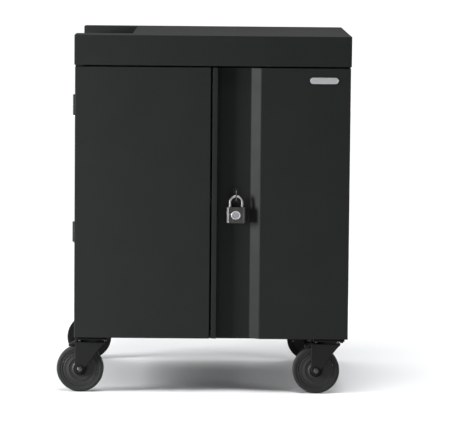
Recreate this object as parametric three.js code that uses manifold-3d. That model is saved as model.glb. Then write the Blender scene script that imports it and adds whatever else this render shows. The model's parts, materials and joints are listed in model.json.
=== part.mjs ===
// Laptop charging cart: a folded-steel cabinet on four swivel casters, with two
// front doors, a padlock on the right door, a handle well in the top cover and a
// serviced rear compartment.  Millimetres, +Z up, +Y to the back, floor at z = 0.
import * as THREE from 'three';
import { mergeVertices } from 'three/addons/utils/BufferGeometryUtils.js';
import Module from 'manifold-3d';

const wasm = await Module();
wasm.setup();

// ---------------------------------------------------------------- dimensions
const CABINET_Z = -3.5;       // the cabinet's own heights start 3.5 below the floor; the casters' start on it
const CABINET_X = 22.75;      // cabinet centre line, so the origin is under the middle of the whole cart
const FRONT = -342;           // front plane of the top cover
const BACK = 342;             // back plane of the top cover
const COVER_HALF = 370;       // half width of the top cover
const COVER_Z0 = 887;
const COVER_Z1 = 968;
const COVER_T = 2.5;
const BODY_HALF = 368;        // half width over the side panels and doors
const SHEET = 2;              // folded sheet thickness
const BODY_Z0 = 152;          // underside of the base pan
const BODY_Z1 = 886.7;
const DOOR_Z0 = 154;
const DOOR_Z1 = 883;
const DOOR_FACE = -341;       // front skin of the doors
const DOOR_BACK = -321;       // back plane of the doors
const LEFT_DOOR_EDGE = -4.9;  // free edges at the meeting gap
const RIGHT_DOOR_EDGE = -0.9;
const STRIP_X = 14;           // recessed strip beside the meeting gap
const STRIP_Y = -339.5;
const CHANNEL_X = 102.5;      // floor of the pull channel
const CHANNEL_Y = -324;
const BEVEL_X = 128.7;        // where the bevel meets the door face
const NOTCH_X = -215;         // handle well
const NOTCH_Y0 = -240;
const NOTCH_Y1 = 278;
const NOTCH_Z = 895;
const HANDLE_X = -347;
const HANDLE_Z = 930;
const HANDLE_R = 14;
const SHELF_Z = 535;
const SHELF_LIP = 22;
const PARTITION_Y = 120;
const BAYS = 12;              // bays in each rack
const BAY_PITCH = 60;
const DIVIDER_T = 3;
const DIVIDER_H = 180;
const HINGE_R = 4.1;          // hinge barrels
const PIN_R = 2;
const BORE_R = 2.13;
const LEFT_AXIS = [-369.4, -331];
const RIGHT_AXIS = [363.5, -331];
const REAR_AXIS = [363.5, 331];
const FRONT_HINGE_Z = [753, 412];
const REAR_HINGE_Z = [780, 330];
const HINGE_H = 55;
const REAR_SPLIT = 258;       // top of the fixed rear panel
const LOCK_X = -330;          // rear cam lock
const LOCK_Z = 573;
const PAD_X = 64.8;           // padlock
const PAD_Y = -338;
const PAD_PIVOT_Z = 538.4;
const SHACKLE_R = 3.05;
const SHACKLE_HALF = 16.35;
const SWIVEL_X = 318.25;      // casters
const SWIVEL_Y = 303.6;
const TRAIL = 34;
const WHEEL_R = 63.5;
const WHEEL_W = 31;
const FORK_IN = 19;
const FORK_OUT = 23;

// ------------------------------------------------------------------ helpers
function solid(geometry) {
  const g = geometry.clone();
  g.deleteAttribute('normal');
  g.deleteAttribute('uv');
  const m = mergeVertices(g, 1e-3);
  const p = m.attributes.position.array;
  const src = m.index.array;
  const tri = [];
  let volume = 0;
  for (let i = 0; i < src.length; i += 3) {
    const [a, b, c] = [src[i], src[i + 1], src[i + 2]];
    if (a === b || b === c || a === c) continue;
    tri.push(a, b, c);
    const [ax, ay, az] = [p[3 * a], p[3 * a + 1], p[3 * a + 2]];
    const [bx, by, bz] = [p[3 * b], p[3 * b + 1], p[3 * b + 2]];
    const [cx, cy, cz] = [p[3 * c], p[3 * c + 1], p[3 * c + 2]];
    volume += ax * (by * cz - bz * cy) - ay * (bx * cz - bz * cx) + az * (bx * cy - by * cx);
  }
  if (volume < 0) for (let i = 0; i < tri.length; i += 3) [tri[i + 1], tri[i + 2]] = [tri[i + 2], tri[i + 1]];
  return new wasm.Manifold(new wasm.Mesh({
    numProp: 3,
    vertProperties: new Float32Array(p),
    triVerts: new Uint32Array(tri),
  }));
}
function box(x0, x1, y0, y1, z0, z1) {
  const g = new THREE.BoxGeometry(x1 - x0, y1 - y0, z1 - z0);
  g.translate((x0 + x1) / 2, (y0 + y1) / 2, (z0 + z1) / 2);
  return solid(g);
}
function outline(points) {
  return new THREE.Shape(points.map(([u, v]) => new THREE.Vector2(u, v)));
}
function extrude(points, depth) {
  return new THREE.ExtrudeGeometry(outline(points), { depth, bevelEnabled: false, steps: 1 });
}
const BASIS = {
  x: new THREE.Matrix4().makeBasis(new THREE.Vector3(0, 1, 0), new THREE.Vector3(0, 0, 1), new THREE.Vector3(1, 0, 0)),
  y: new THREE.Matrix4().makeBasis(new THREE.Vector3(0, 0, 1), new THREE.Vector3(1, 0, 0), new THREE.Vector3(0, 1, 0)),
};
function pierced(make, points, a, b, holes) {
  let s = make(points, a, b);
  for (const h of holes) s = s.subtract(make(h, a - 1, b + 1));
  return s;
}
// outline in (x, y), pulled along z
function alongZ(points, z0, z1, holes = []) {
  return pierced((list, a, b) => {
    const g = extrude(list, b - a);
    g.translate(0, 0, a);
    return solid(g);
  }, points, z0, z1, holes);
}
// outline in (y, z), pulled along x
function alongX(points, x0, x1, holes = []) {
  return pierced((list, a, b) => {
    const g = extrude(list, b - a);
    g.applyMatrix4(BASIS.x);
    g.translate(a, 0, 0);
    return solid(g);
  }, points, x0, x1, holes);
}
// outline in (x, z), pulled along y
function alongY(points, y0, y1, holes = []) {
  return pierced((list, a, b) => {
    const g = extrude(list.map(([x, z]) => [z, x]), b - a);
    g.applyMatrix4(BASIS.y);
    g.translate(0, a, 0);
    return solid(g);
  }, points, y0, y1, holes);
}
function circle(u, v, r, n = 16, start = 0) {
  return Array.from({ length: n }, (_, i) => {
    const a = start + (2 * Math.PI * i) / n;
    return [u + r * Math.cos(a), v + r * Math.sin(a)];
  });
}
const rect = (u0, u1, v0, v1) => [[u0, v0], [u1, v0], [u1, v1], [u0, v1]];
function roundRect(u0, u1, v0, v1, r, n = 4) {
  const out = [];
  for (const [cu, cv, a0] of [[u1 - r, v1 - r, 0], [u0 + r, v1 - r, 90], [u0 + r, v0 + r, 180], [u1 - r, v0 + r, 270]]) {
    for (let i = 0; i <= n; i++) {
      const a = ((a0 + (90 * i) / n) * Math.PI) / 180;
      out.push([cu + r * Math.cos(a), cv + r * Math.sin(a)]);
    }
  }
  return out;
}
const rodZ = (x, y, r, z0, z1, n = 16) => alongZ(circle(x, y, r, n), z0, z1);
const rodY = (x, z, r, y0, y1, n = 16) => alongY(circle(x, z, r, n), y0, y1);
// profile of (radius, y), turned about the y axis, moved to (x, 0, z)
function turned(profile, segments, x, z) {
  const g = new THREE.LatheGeometry(profile.map(([r, y]) => new THREE.Vector2(r, y)), segments);
  g.translate(x, 0, z);
  return solid(g);
}
function tube(points, radius, sides, steps) {
  const path = new THREE.CatmullRomCurve3(points.map((p) => new THREE.Vector3(...p)), false, 'centripetal');
  return solid(new THREE.ExtrudeGeometry(outline(circle(0, 0, radius, sides)), { steps, bevelEnabled: false, extrudePath: path }));
}

const cart = new THREE.Group();
cart.name = 'laptop_charging_cart';
const cabinet = new THREE.Group();
cabinet.position.set(CABINET_X, 0, CABINET_Z);
cart.add(cabinet);

const FINISH = {
  body: [0x2d2f2e, 0.55, 0.2],
  inside: [0x3a3c3b, 0.6, 0.2],
  black: [0x1c1d1d, 0.6, 0.1],
  steel: [0xb0b0ae, 0.3, 0.9],
  chrome: [0xc4c4c2, 0.18, 1.0],
  lockface: [0x4a4c48, 0.35, 0.7],
  silver: [0xb8bcc0, 0.35, 0.8],
  rubber: [0x3a3b3b, 0.8, 0],
  hub: [0x333434, 0.6, 0],
  plastic: [0x202121, 0.55, 0],
  brass: [0xa88f4e, 0.35, 0.9],
  zinc: [0x8d9091, 0.4, 0.9],
};
function piece(name, body, finish, parent = cabinet) {
  const mesh = body.getMesh();
  const g = new THREE.BufferGeometry();
  const n = mesh.numProp;
  const verts = mesh.vertProperties;
  const count = verts.length / n;
  const pos = new Float32Array(count * 3);
  for (let i = 0; i < count; i++) for (let k = 0; k < 3; k++) pos[3 * i + k] = verts[n * i + k];
  g.setAttribute('position', new THREE.BufferAttribute(pos, 3));
  g.setIndex(new THREE.BufferAttribute(new Uint32Array(mesh.triVerts), 1));
  g.computeVertexNormals();
  const [color, roughness, metalness] = FINISH[finish];
  const m = new THREE.Mesh(g, new THREE.MeshStandardMaterial({ color, roughness, metalness }));
  m.name = name;
  parent.add(m);
  return m;
}

// ------------------------------------------------------------- hinge details
// Each weld-on hinge is a lower barrel on the cabinet, an upper barrel on the
// door and a loose pin with a head under the lower barrel.
function barrel([x, y], z0, z1) {
  return rodZ(x, y, HINGE_R, z0, z1, 12);
}
function bore([x, y], z0, z1) {
  return rodZ(x, y, BORE_R, z0 - 1, z1 + 1, 12);
}
function pin(name, [x, y], z) {
  piece(name, rodZ(x, y, PIN_R, z - 0.6, z + HINGE_H - 1, 12).add(rodZ(x, y, 3.2, z - 2.1, z - 0.3, 8)), 'zinc');
}

// --------------------------------------------------------------- side panels
function sidePanel(sign) {
  const s = (list) => list.map(([x, y]) => [sign * x, y]);
  let p = alongZ(s([[368, -318], [368, 320], [346, 320], [346, 318], [366, 318], [366, -316], [346, -316], [346, -318]]), BODY_Z0 + 0.3, BODY_Z1);
  return p;
}
let leftSide = sidePanel(-1);
for (const z of FRONT_HINGE_Z) {
  leftSide = leftSide
    .add(barrel(LEFT_AXIS, z, z + 27))
    .add(box(-370.5, -367.2, -331, -288, z, z + 27))
    .subtract(bore(LEFT_AXIS, z, z + 27));
}
piece('left_side_panel', leftSide, 'body');
let rightSide = sidePanel(1);
for (const z of FRONT_HINGE_Z) {
  rightSide = rightSide
    .add(barrel(RIGHT_AXIS, z, z + 27))
    .add(box(359.4, 362.4, -331, -316.6, z, z + 27))
    .subtract(bore(RIGHT_AXIS, z, z + 27));
}
for (const z of REAR_HINGE_Z) {
  rightSide = rightSide
    .add(barrel(REAR_AXIS, z, z + 27))
    .add(box(359.4, 362.4, 318.6, 331, z, z + 27))
    .subtract(bore(REAR_AXIS, z, z + 27));
}
piece('right_side_panel', rightSide, 'body');

// -------------------------------------------------------- base, shelf, partition
piece('base_pan', alongX([
  [-315.7, BODY_Z0], [317.7, BODY_Z0], [317.7, BODY_Z0 + 22], [315.7, BODY_Z0 + 22], [315.7, BODY_Z0 + SHEET],
  [-313.7, BODY_Z0 + SHEET], [-313.7, BODY_Z0 + 22], [-315.7, BODY_Z0 + 22],
], -365.7, 365.7), 'inside');
piece('mid_shelf', alongX([
  [-315.7, SHELF_Z - SHELF_LIP], [-313.7, SHELF_Z - SHELF_LIP], [-313.7, SHELF_Z - SHEET], [117.6, SHELF_Z - SHEET],
  [117.6, SHELF_Z - SHELF_LIP], [119.6, SHELF_Z - SHELF_LIP], [119.6, SHELF_Z], [-315.7, SHELF_Z],
], -365.7, 365.7), 'inside');
const cableWindows = [];
for (const z of [372, 752]) for (const x of [-205, 205]) cableWindows.push(roundRect(x - 135, x + 135, z, z + 60, 14, 2));
piece('partition_panel', alongY(rect(-365.7, 365.7, BODY_Z0 + 2.4, BODY_Z1), PARTITION_Y, PARTITION_Y + SHEET, cableWindows), 'inside');

// -------------------------------------------------------------- top and handle
let cover = box(-COVER_HALF, COVER_HALF, FRONT, BACK, COVER_Z0, COVER_Z1)
  .subtract(box(-COVER_HALF + COVER_T, COVER_HALF - COVER_T, FRONT + COVER_T, BACK - COVER_T, COVER_Z0 - 5, COVER_Z1 - COVER_T))
  .subtract(box(-COVER_HALF - 5, NOTCH_X, NOTCH_Y0, NOTCH_Y1, NOTCH_Z, COVER_Z1 + 5));
piece('top_cover', cover, 'body');
const tray = box(-COVER_HALF + 0.3, NOTCH_X - 0.3, NOTCH_Y0 + 0.3, NOTCH_Y1 - 0.3, NOTCH_Z + 0.3, COVER_Z1 - 0.3)
  .subtract(box(-COVER_HALF - 5, NOTCH_X - 2.3, NOTCH_Y0 + 2.3, NOTCH_Y1 - 2.3, NOTCH_Z + 2.3, COVER_Z1 + 5));
piece('handle_tray', tray, 'body');
const hy0 = NOTCH_Y0 + 2.6;
const hy1 = NOTCH_Y1 - 2.6;
piece('push_handle', rodY(HANDLE_X, HANDLE_Z, HANDLE_R, hy0, hy1, 16)
  .add(rodY(HANDLE_X, HANDLE_Z, 15.5, hy0, hy0 + 4, 16))
  .add(rodY(HANDLE_X, HANDLE_Z, 15.5, hy1 - 4, hy1, 16)), 'black');

// ----------------------------------------------------------------------- racks
function rack(name, z) {
  const x0 = (-BAYS * BAY_PITCH) / 2;
  let r = box(x0 - DIVIDER_T / 2, -x0 + DIVIDER_T / 2, -304, 104, z, z + SHEET);
  for (let i = 0; i <= BAYS; i++) {
    const x = x0 + i * BAY_PITCH;
    r = r.add(alongX(
      [[-300, z + 1], [100, z + 1], [100, z + DIVIDER_H], [-200, z + DIVIDER_H], [-300, z + 80]],
      x - DIVIDER_T / 2, x + DIVIDER_T / 2,
      [[[-286, z + 16], [86, z + 16], [86, z + DIVIDER_H - 14], [-194, z + DIVIDER_H - 14], [-286, z + 74]]],
    ));
  }
  return piece(name, r, 'inside');
}
rack('lower_rack', BODY_Z0 + SHEET + 0.3);
rack('upper_rack', SHELF_Z + 0.3);

// --------------------------------------------------------- power equipment, rear
function outletStrip(name, z) {
  let s = alongX([[122.4, z], [158, z], [162, z + 4], [162, z + 41], [158, z + 45], [122.4, z + 45]], -300, 300);
  for (let i = 0; i < 6; i++) {
    const x = -245 + i * 98;
    s = s.subtract(alongY(roundRect(x - 17, x + 17, z + 9, z + 36, 6, 1), 160, 165));
  }
  return piece(name, s, 'plastic');
}
outletStrip('upper_outlet_strip', 570);
outletStrip('lower_outlet_strip', 196);
piece('charge_controller', alongZ(roundRect(-110, 110, 200, 300, 6, 2), BODY_Z0 + SHEET + 0.4, 226)
  .subtract(alongX(rect(297, 303, 172, 210), -92, 40)), 'plastic');

// Fixed lower rear panel with the mains inlet and its rocker.
let rearPanel = box(-BODY_HALF, BODY_HALF, 320.4, BACK, BODY_Z0 + 0.3, REAR_SPLIT)
  .subtract(box(-BODY_HALF + SHEET, BODY_HALF - SHEET, 315, BACK - SHEET, BODY_Z0 + 0.3 + SHEET, REAR_SPLIT - SHEET))
  .subtract(box(235.6, 264.4, 335, 350, 191.6, 238.4));
piece('rear_panel', rearPanel, 'body');
let inlet = alongY(roundRect(225, 275, 184, 246, 5, 2), BACK + 0.3, BACK + 3)
  .add(box(236, 264, 321, BACK + 1, 192, 238))
  .subtract(alongY([[239, 196], [261, 196], [261, 207], [256.5, 212], [243.5, 212], [239, 207]], 329, 350))
  .subtract(box(240, 260, 334, 350, 219, 233));
for (const x of [244, 250, 256]) inlet = inlet.add(box(x - 1, x + 1, 328, 340, 202 - (x === 250 ? -2 : 2), 206 - (x === 250 ? -2 : 2)));
piece('power_inlet', inlet, 'plastic');
const rocker = new THREE.Group();
rocker.position.set(250, 341, 226);
rocker.rotation.x = (-6 * Math.PI) / 180;
cabinet.add(rocker);
piece('power_rocker', alongX([[-3, -4.5], [4.4, -6.1], [2.9, 0], [4.4, 6.1], [-3, 4.5]], -9.4, 9.4), 'black', rocker);

// ------------------------------------------------------------------ mains leads
piece('inlet_lead', tube([[250, 320.4, 208], [250, 300, 208], [236, 272, 200], [190, 256, 192], [140, 250, 190], [111, 250, 190]], 4, 8, 12), 'rubber');
piece('lower_strip_lead', tube([[-60, 250, 226.6], [-60, 250, 244], [-60, 240, 261], [-60, 221, 266], [-60, 204, 254], [-60, 194, 235], [-60, 183, 221], [-60, 172, 219], [-60, 163, 219]], 4, 8, 12), 'rubber');
piece('upper_strip_lead', tube([[60, 250, 226.6], [60, 250, 260], [60, 226, 300], [60, 180, 340], [60, 147, 400], [60, 142, 480], [60, 142, 540], [60, 142, 569.4]], 4, 8, 14), 'rubber');

// ---------------------------------------------------------------------- rear door
let rearDoor = box(-BODY_HALF, BODY_HALF, 321, BACK, REAR_SPLIT + 4, DOOR_Z1)
  .subtract(box(-BODY_HALF + SHEET, BODY_HALF - SHEET, 315, BACK - SHEET, REAR_SPLIT + 4 + SHEET, DOOR_Z1 - SHEET));
for (const x of [-160, 160]) {
  for (let i = 0; i < 6; i++) {
    for (const z of [330, 740]) rearDoor = rearDoor.subtract(box(x - 90, x + 90, 335, 350, z + i * 16, z + i * 16 + 6));
  }
}
for (const z of REAR_HINGE_Z) {
  rearDoor = rearDoor
    .subtract(box(356, 372, 315, 337, z - 3, z + 28))
    .add(barrel(REAR_AXIS, z + 28, z + HINGE_H))
    .subtract(bore(REAR_AXIS, z + 28, z + HINGE_H));
}
rearDoor = rearDoor.subtract(rodY(LOCK_X, LOCK_Z, 9.4, 330, 350, 16));
piece('rear_door', rearDoor, 'body');
piece('rear_cam_lock', rodY(LOCK_X, LOCK_Z, 12, BACK + 0.4, BACK + 4.4, 16)
  .add(rodY(LOCK_X, LOCK_Z, 9, 312, BACK + 1, 16))
  .add(alongY(roundRect(LOCK_X - 7, LOCK_X + 7, LOCK_Z - 9, LOCK_Z + 31, 4, 1), 312.5, 315.5))
  .subtract(box(LOCK_X - 0.8, LOCK_X + 0.8, BACK - 6, BACK + 6, LOCK_Z - 4, LOCK_Z + 4)), 'zinc');

// --------------------------------------------------------------------- front doors
let leftDoor = box(-BODY_HALF, LEFT_DOOR_EDGE, DOOR_FACE, DOOR_BACK, DOOR_Z0, DOOR_Z1)
  .subtract(box(-BODY_HALF + SHEET, LEFT_DOOR_EDGE - SHEET, DOOR_FACE + SHEET, DOOR_BACK + 5, DOOR_Z0 + SHEET, DOOR_Z1 - SHEET))
  .add(box(-62, LEFT_DOOR_EDGE - 1, DOOR_BACK - SHEET, DOOR_BACK, 500, 548));
for (const z of FRONT_HINGE_Z) {
  leftDoor = leftDoor
    .subtract(box(-380, -360, -337, -315, z - 3, z + 28))
    .add(barrel(LEFT_AXIS, z + 28, z + HINGE_H))
    .subtract(bore(LEFT_AXIS, z + 28, z + HINGE_H));
}
piece('left_door', leftDoor, 'body');

const rightSkin = [
  [RIGHT_DOOR_EDGE, DOOR_BACK], [RIGHT_DOOR_EDGE, STRIP_Y], [STRIP_X, STRIP_Y], [STRIP_X, CHANNEL_Y],
  [CHANNEL_X, CHANNEL_Y], [BEVEL_X, DOOR_FACE], [BODY_HALF, DOOR_FACE], [BODY_HALF, DOOR_BACK],
];
const rightInner = [
  [BODY_HALF - SHEET, DOOR_BACK], [BODY_HALF - SHEET, DOOR_FACE + SHEET], [BEVEL_X + 0.6, DOOR_FACE + SHEET],
  [CHANNEL_X + 0.6, CHANNEL_Y + SHEET], [STRIP_X - SHEET, CHANNEL_Y + SHEET], [STRIP_X - SHEET, STRIP_Y + SHEET],
  [RIGHT_DOOR_EDGE + SHEET, STRIP_Y + SHEET], [RIGHT_DOOR_EDGE + SHEET, DOOR_BACK],
];
let rightDoor = alongZ([...rightSkin, ...rightInner], DOOR_Z0, DOOR_Z1)
  .add(alongZ(rightSkin, DOOR_Z0, DOOR_Z0 + SHEET))
  .add(alongZ(rightSkin, DOOR_Z1 - SHEET, DOOR_Z1));
for (const z of FRONT_HINGE_Z) {
  rightDoor = rightDoor
    .subtract(box(356, 372, -337, -315, z - 3, z + 28))
    .add(barrel(RIGHT_AXIS, z + 28, z + HINGE_H))
    .subtract(bore(RIGHT_AXIS, z + 28, z + HINGE_H));
}
piece('right_door', rightDoor, 'body');
piece('badge_plate', alongY(roundRect(259, 335, 841.5, 859.5, 8.9, 6), DOOR_FACE - 1.5, DOOR_FACE - 0.3), 'silver');
piece('left_door_catch', box(-56, -20, -320.4, -316, 516, 532), 'black');
piece('right_door_catch', box(20, 56, -321.4, -316, 516, 532), 'black');

FRONT_HINGE_Z.forEach((z, i) => pin(`left_hinge_pin_${i ? 'lower' : 'upper'}`, LEFT_AXIS, z));
FRONT_HINGE_Z.forEach((z, i) => pin(`right_hinge_pin_${i ? 'lower' : 'upper'}`, RIGHT_AXIS, z));
REAR_HINGE_Z.forEach((z, i) => pin(`rear_hinge_pin_${i ? 'lower' : 'upper'}`, REAR_AXIS, z));

// ------------------------------------------------------------------ hasp and padlock
const TAB_HALF = 1.5;
piece('hasp_tab', alongX(
  [[CHANNEL_Y - 0.3, 524], [CHANNEL_Y - 0.3, 557], [-341, 557], [-345, 552], [-345, 529], [-341, 524]],
  PAD_X - TAB_HALF, PAD_X + TAB_HALF, [circle(PAD_Y, PAD_PIVOT_Z, 4.6, 16)],
).add(box(PAD_X - 8, PAD_X + 8, CHANNEL_Y - 2.3, CHANNEL_Y - 0.3, 520, 561)), 'body');

const BOW_Z = PAD_PIVOT_Z - SHACKLE_HALF;
const bowPoints = [];
bowPoints.push([PAD_X - SHACKLE_HALF, PAD_Y, 476]);
bowPoints.push([PAD_X - SHACKLE_HALF, PAD_Y, BOW_Z]);
for (let i = 1; i < 10; i++) {
  const a = Math.PI - (Math.PI * i) / 10;
  bowPoints.push([PAD_X + SHACKLE_HALF * Math.cos(a), PAD_Y, BOW_Z + SHACKLE_HALF * Math.sin(a)]);
}
bowPoints.push([PAD_X + SHACKLE_HALF, PAD_Y, BOW_Z]);
bowPoints.push([PAD_X + SHACKLE_HALF, PAD_Y, 502]);
// The shackle is swept as rings so that each ring stands square to the bend.
function ringSweep(points, radius, sides) {
  const pos = [];
  const idx = [];
  const n = points.length;
  const v = points.map((p) => new THREE.Vector3(...p));
  for (let i = 0; i < n; i++) {
    const t = new THREE.Vector3().subVectors(v[Math.min(i + 1, n - 1)], v[Math.max(i - 1, 0)]).normalize();
    const side = new THREE.Vector3(0, 1, 0);
    const up = new THREE.Vector3().crossVectors(t, side).normalize();
    for (let k = 0; k < sides; k++) {
      const a = (2 * Math.PI * k) / sides;
      pos.push(...v[i].clone().addScaledVector(side, radius * Math.cos(a)).addScaledVector(up, radius * Math.sin(a)).toArray());
    }
  }
  for (let i = 0; i < n - 1; i++) {
    for (let k = 0; k < sides; k++) {
      const a = i * sides + k;
      const b = i * sides + ((k + 1) % sides);
      idx.push(a, b, b + sides, a, b + sides, a + sides);
    }
  }
  for (let k = 1; k < sides - 1; k++) {
    idx.push(0, k + 1, k);
    const e = (n - 1) * sides;
    idx.push(e, e + k, e + k + 1);
  }
  const g = new THREE.BufferGeometry();
  g.setAttribute('position', new THREE.Float32BufferAttribute(pos, 3));
  g.setIndex(idx);
  return solid(g);
}
piece('padlock_shackle', ringSweep(bowPoints, SHACKLE_R, 10), 'chrome');
let lockBody = alongZ(roundRect(PAD_X - 25.4, PAD_X + 24.3, PAD_Y - 10, PAD_Y + 10, 5, 3), 467.4, 509)
  .subtract(rodZ(PAD_X - SHACKLE_HALF, PAD_Y, 3.4, 474, 520, 12))
  .subtract(rodZ(PAD_X + SHACKLE_HALF, PAD_Y, 3.4, 492, 520, 12))
  .subtract(rodZ(PAD_X, PAD_Y, 5.8, 460, 486, 16));
piece('padlock_body', lockBody, 'lockface');
piece('padlock_disc', rodY(PAD_X - 0.4, 488.5, 12.8, PAD_Y - 11.3, PAD_Y - 10.3, 20), 'silver');
piece('padlock_cylinder', rodZ(PAD_X, PAD_Y, 5.5, 468, 485.5, 16)
  .subtract(box(PAD_X - 0.8, PAD_X + 0.8, PAD_Y - 3.8, PAD_Y + 3.8, 460, 478)), 'brass');

// -------------------------------------------------------------------------- casters
// Built about the swivel axis; every wheel trails towards -X at rest.
function caster(tag, x, y, brake) {
  const g = new THREE.Group();
  g.position.set(x, y, -CABINET_Z);
  cabinet.add(g);
  let plate = alongZ(roundRect(-42, 42, -33, 33, 6, 1), 144, 148.2)
    .add(rodZ(0, 0, 26, 136.4, 144.5, 16))
    .add(rodZ(0, 0, 6, 128, 140, 12))
    .add(rodZ(0, 0, 9, 126.5, 131.6, 6));
  for (const [bx, by] of [[-34, -25], [34, -25], [34, 25], [-34, 25]]) plate = plate.add(rodZ(bx, by, 5.5, 140.2, 144.5, 6));
  piece(`caster_${tag}_plate`, plate, 'black', g);

  const leg = [[-47.7, 136], [-47.7, 66]];
  for (let i = 0; i <= 5; i++) {
    const a = Math.PI * (1 + i / 5);
    leg.push([-TRAIL + 13.7 * Math.cos(a), 63.5 + 13.7 * Math.sin(a)]);
  }
  leg.push([-20.3, 66], [11, 110.5], [31, 133], [31, 136]);
  const holes = [circle(-TRAIL, 63.5, 5.4, 12)];
  if (brake) holes.push(circle(-43, 131.2, 2.4, 8));
  const crown = [[-36, -FORK_OUT], [18, -FORK_OUT], [31, -14], [31, 14], [18, FORK_OUT], [-36, FORK_OUT]];
  const fork = alongY(leg, -FORK_OUT, -FORK_IN, holes)
    .add(alongY(leg, FORK_IN, FORK_OUT, holes))
    .add(alongZ(crown, 132, 136, [circle(0, 0, 6.5, 12)]))
    .add(box(-39.8, -31, -16, 16, 135, 139));
  piece(`caster_${tag}_fork`, fork, 'black', g);
  piece(`caster_${tag}_axle`, rodY(-TRAIL, 63.5, 5, -27, 27, 12)
    .add(rodY(-TRAIL, 63.5, 8, -28.5, -23.3, 6))
    .add(rodY(-TRAIL, 63.5, 8, 23.3, 28.5, 6)), 'zinc', g);
  const h = WHEEL_W / 2;
  piece(`caster_${tag}_hub`, turned([
    [5.4, -18.4], [18.6, -18.4], [20.4, -13.4], [41.6, -14], [43.2, -12.8], [46.7, -12.8],
    [46.7, 12.8], [43.2, 12.8], [41.6, 14], [20.4, 13.4], [18.6, 18.4], [5.4, 18.4], [5.4, -18.4],
  ], 16, -TRAIL, WHEEL_R), 'hub', g);
  piece(`caster_${tag}_tyre`, turned([
    [47, -h + 1.5], [59.5, -h], [63.5, -h + 5.5], [63.5, h - 5.5], [59.5, h], [47, h - 1.5], [47, -h + 1.5],
  ], 32, -TRAIL, WHEEL_R), 'rubber', g);
  if (brake) {
    piece(`caster_${tag}_brake`, alongY(
      [[-40.4, 129], [-40.4, 137], [-42.5, 139], [-46.5, 139], [-49, 136.6], [-52, 134.6], [-63, 129.6], [-65, 128], [-65, 124.4], [-63, 124.6], [-50, 130.2], [-46, 129]],
      -18, 18,
    ).add(rodY(-43, 131.2, 2, -22.6, 22.6, 8)), 'black', g);
  }
}
caster('front_left', -SWIVEL_X, -SWIVEL_Y, true);
caster('front_right', SWIVEL_X, -SWIVEL_Y, true);
caster('rear_left', -SWIVEL_X, SWIVEL_Y, false);
caster('rear_right', SWIVEL_X, SWIVEL_Y, false);

export default cart;
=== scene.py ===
import json
import math

import bmesh
import bpy
from mathutils import Matrix, Vector

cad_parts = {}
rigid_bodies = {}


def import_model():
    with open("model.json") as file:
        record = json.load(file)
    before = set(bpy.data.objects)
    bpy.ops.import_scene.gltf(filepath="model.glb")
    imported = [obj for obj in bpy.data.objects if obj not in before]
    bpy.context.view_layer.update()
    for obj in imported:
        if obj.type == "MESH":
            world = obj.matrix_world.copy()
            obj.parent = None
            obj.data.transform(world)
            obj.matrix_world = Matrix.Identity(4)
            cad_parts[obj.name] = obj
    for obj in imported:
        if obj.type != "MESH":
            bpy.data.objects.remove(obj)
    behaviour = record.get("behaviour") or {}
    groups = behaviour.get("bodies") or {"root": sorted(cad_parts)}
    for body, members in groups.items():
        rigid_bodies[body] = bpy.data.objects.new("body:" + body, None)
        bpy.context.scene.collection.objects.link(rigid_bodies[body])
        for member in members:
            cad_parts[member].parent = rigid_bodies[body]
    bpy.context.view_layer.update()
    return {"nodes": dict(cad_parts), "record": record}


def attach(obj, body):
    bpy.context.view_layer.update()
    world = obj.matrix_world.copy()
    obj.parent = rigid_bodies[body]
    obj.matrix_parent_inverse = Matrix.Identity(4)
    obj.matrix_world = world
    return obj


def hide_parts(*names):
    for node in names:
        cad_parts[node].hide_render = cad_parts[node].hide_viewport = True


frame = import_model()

NODES = frame["nodes"]
X0 = 22.75  # cabinet centre line in the row frame, mm
LEVEL = [-3.5]  # where the heights being drawn start: the cabinet's just below the floor, the casters' on it


def P(x, y, z):
    """A point given in mm from the cabinet's centre line, in the row frame in metres."""
    return Vector(((x + X0) / 1000.0, y / 1000.0, (z + LEVEL[0]) / 1000.0))


# ---------------------------------------------------------------- camera
cam_data = bpy.data.cameras.new("camera")
cam = bpy.data.objects.new("camera", cam_data)
bpy.context.scene.collection.objects.link(cam)
right = Vector((0.99993349, -0.00694773, 0.00920565))
down = Vector((0.00848073, -0.09799573, -0.9951507))
ahead = Vector((0.00781615, 0.99516258, -0.09793029))
rot = Matrix((right, -down, -ahead)).transposed()
cam.matrix_world = Matrix.Translation(P(-0.1, -342 - 8038.5, 1290.7)) @ rot.to_4x4()
cam_data.sensor_width = 36.0
cam_data.sensor_fit = "HORIZONTAL"
cam_data.lens = 3018.3 / 471 * 36.0
cam_data.clip_start, cam_data.clip_end = 0.1, 400.0
bpy.context.scene.camera = cam
bpy.context.scene.view_settings.view_transform = "Standard"
bpy.context.scene.view_settings.look = "None"


# ------------------------------------------------------------- materials
def new_material(name):
    m = bpy.data.materials.new(name)
    m.use_nodes = True
    nt = m.node_tree
    return m, nt, nt.nodes["Principled BSDF"]


def coords(nt, stretch=None):
    tc = nt.nodes.new("ShaderNodeTexCoord")
    if stretch is None:
        return tc.outputs["Object"]
    mp = nt.nodes.new("ShaderNodeMapping")
    mp.inputs["Scale"].default_value = stretch
    nt.links.new(tc.outputs["Object"], mp.inputs["Vector"])
    return mp.outputs["Vector"]


def noise(nt, vec, scale, detail=3.0, rough=0.5):
    n = nt.nodes.new("ShaderNodeTexNoise")
    n.inputs["Scale"].default_value = scale
    n.inputs["Detail"].default_value = detail
    n.inputs["Roughness"].default_value = rough
    nt.links.new(vec, n.inputs["Vector"])
    return n.outputs["Fac"]


def remap(nt, fac, lo, hi, out_lo, out_hi):
    r = nt.nodes.new("ShaderNodeMapRange")
    for key, v in (("From Min", lo), ("From Max", hi), ("To Min", out_lo), ("To Max", out_hi)):
        r.inputs[key].default_value = v
    nt.links.new(fac, r.inputs["Value"])
    return r.outputs["Result"]


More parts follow.
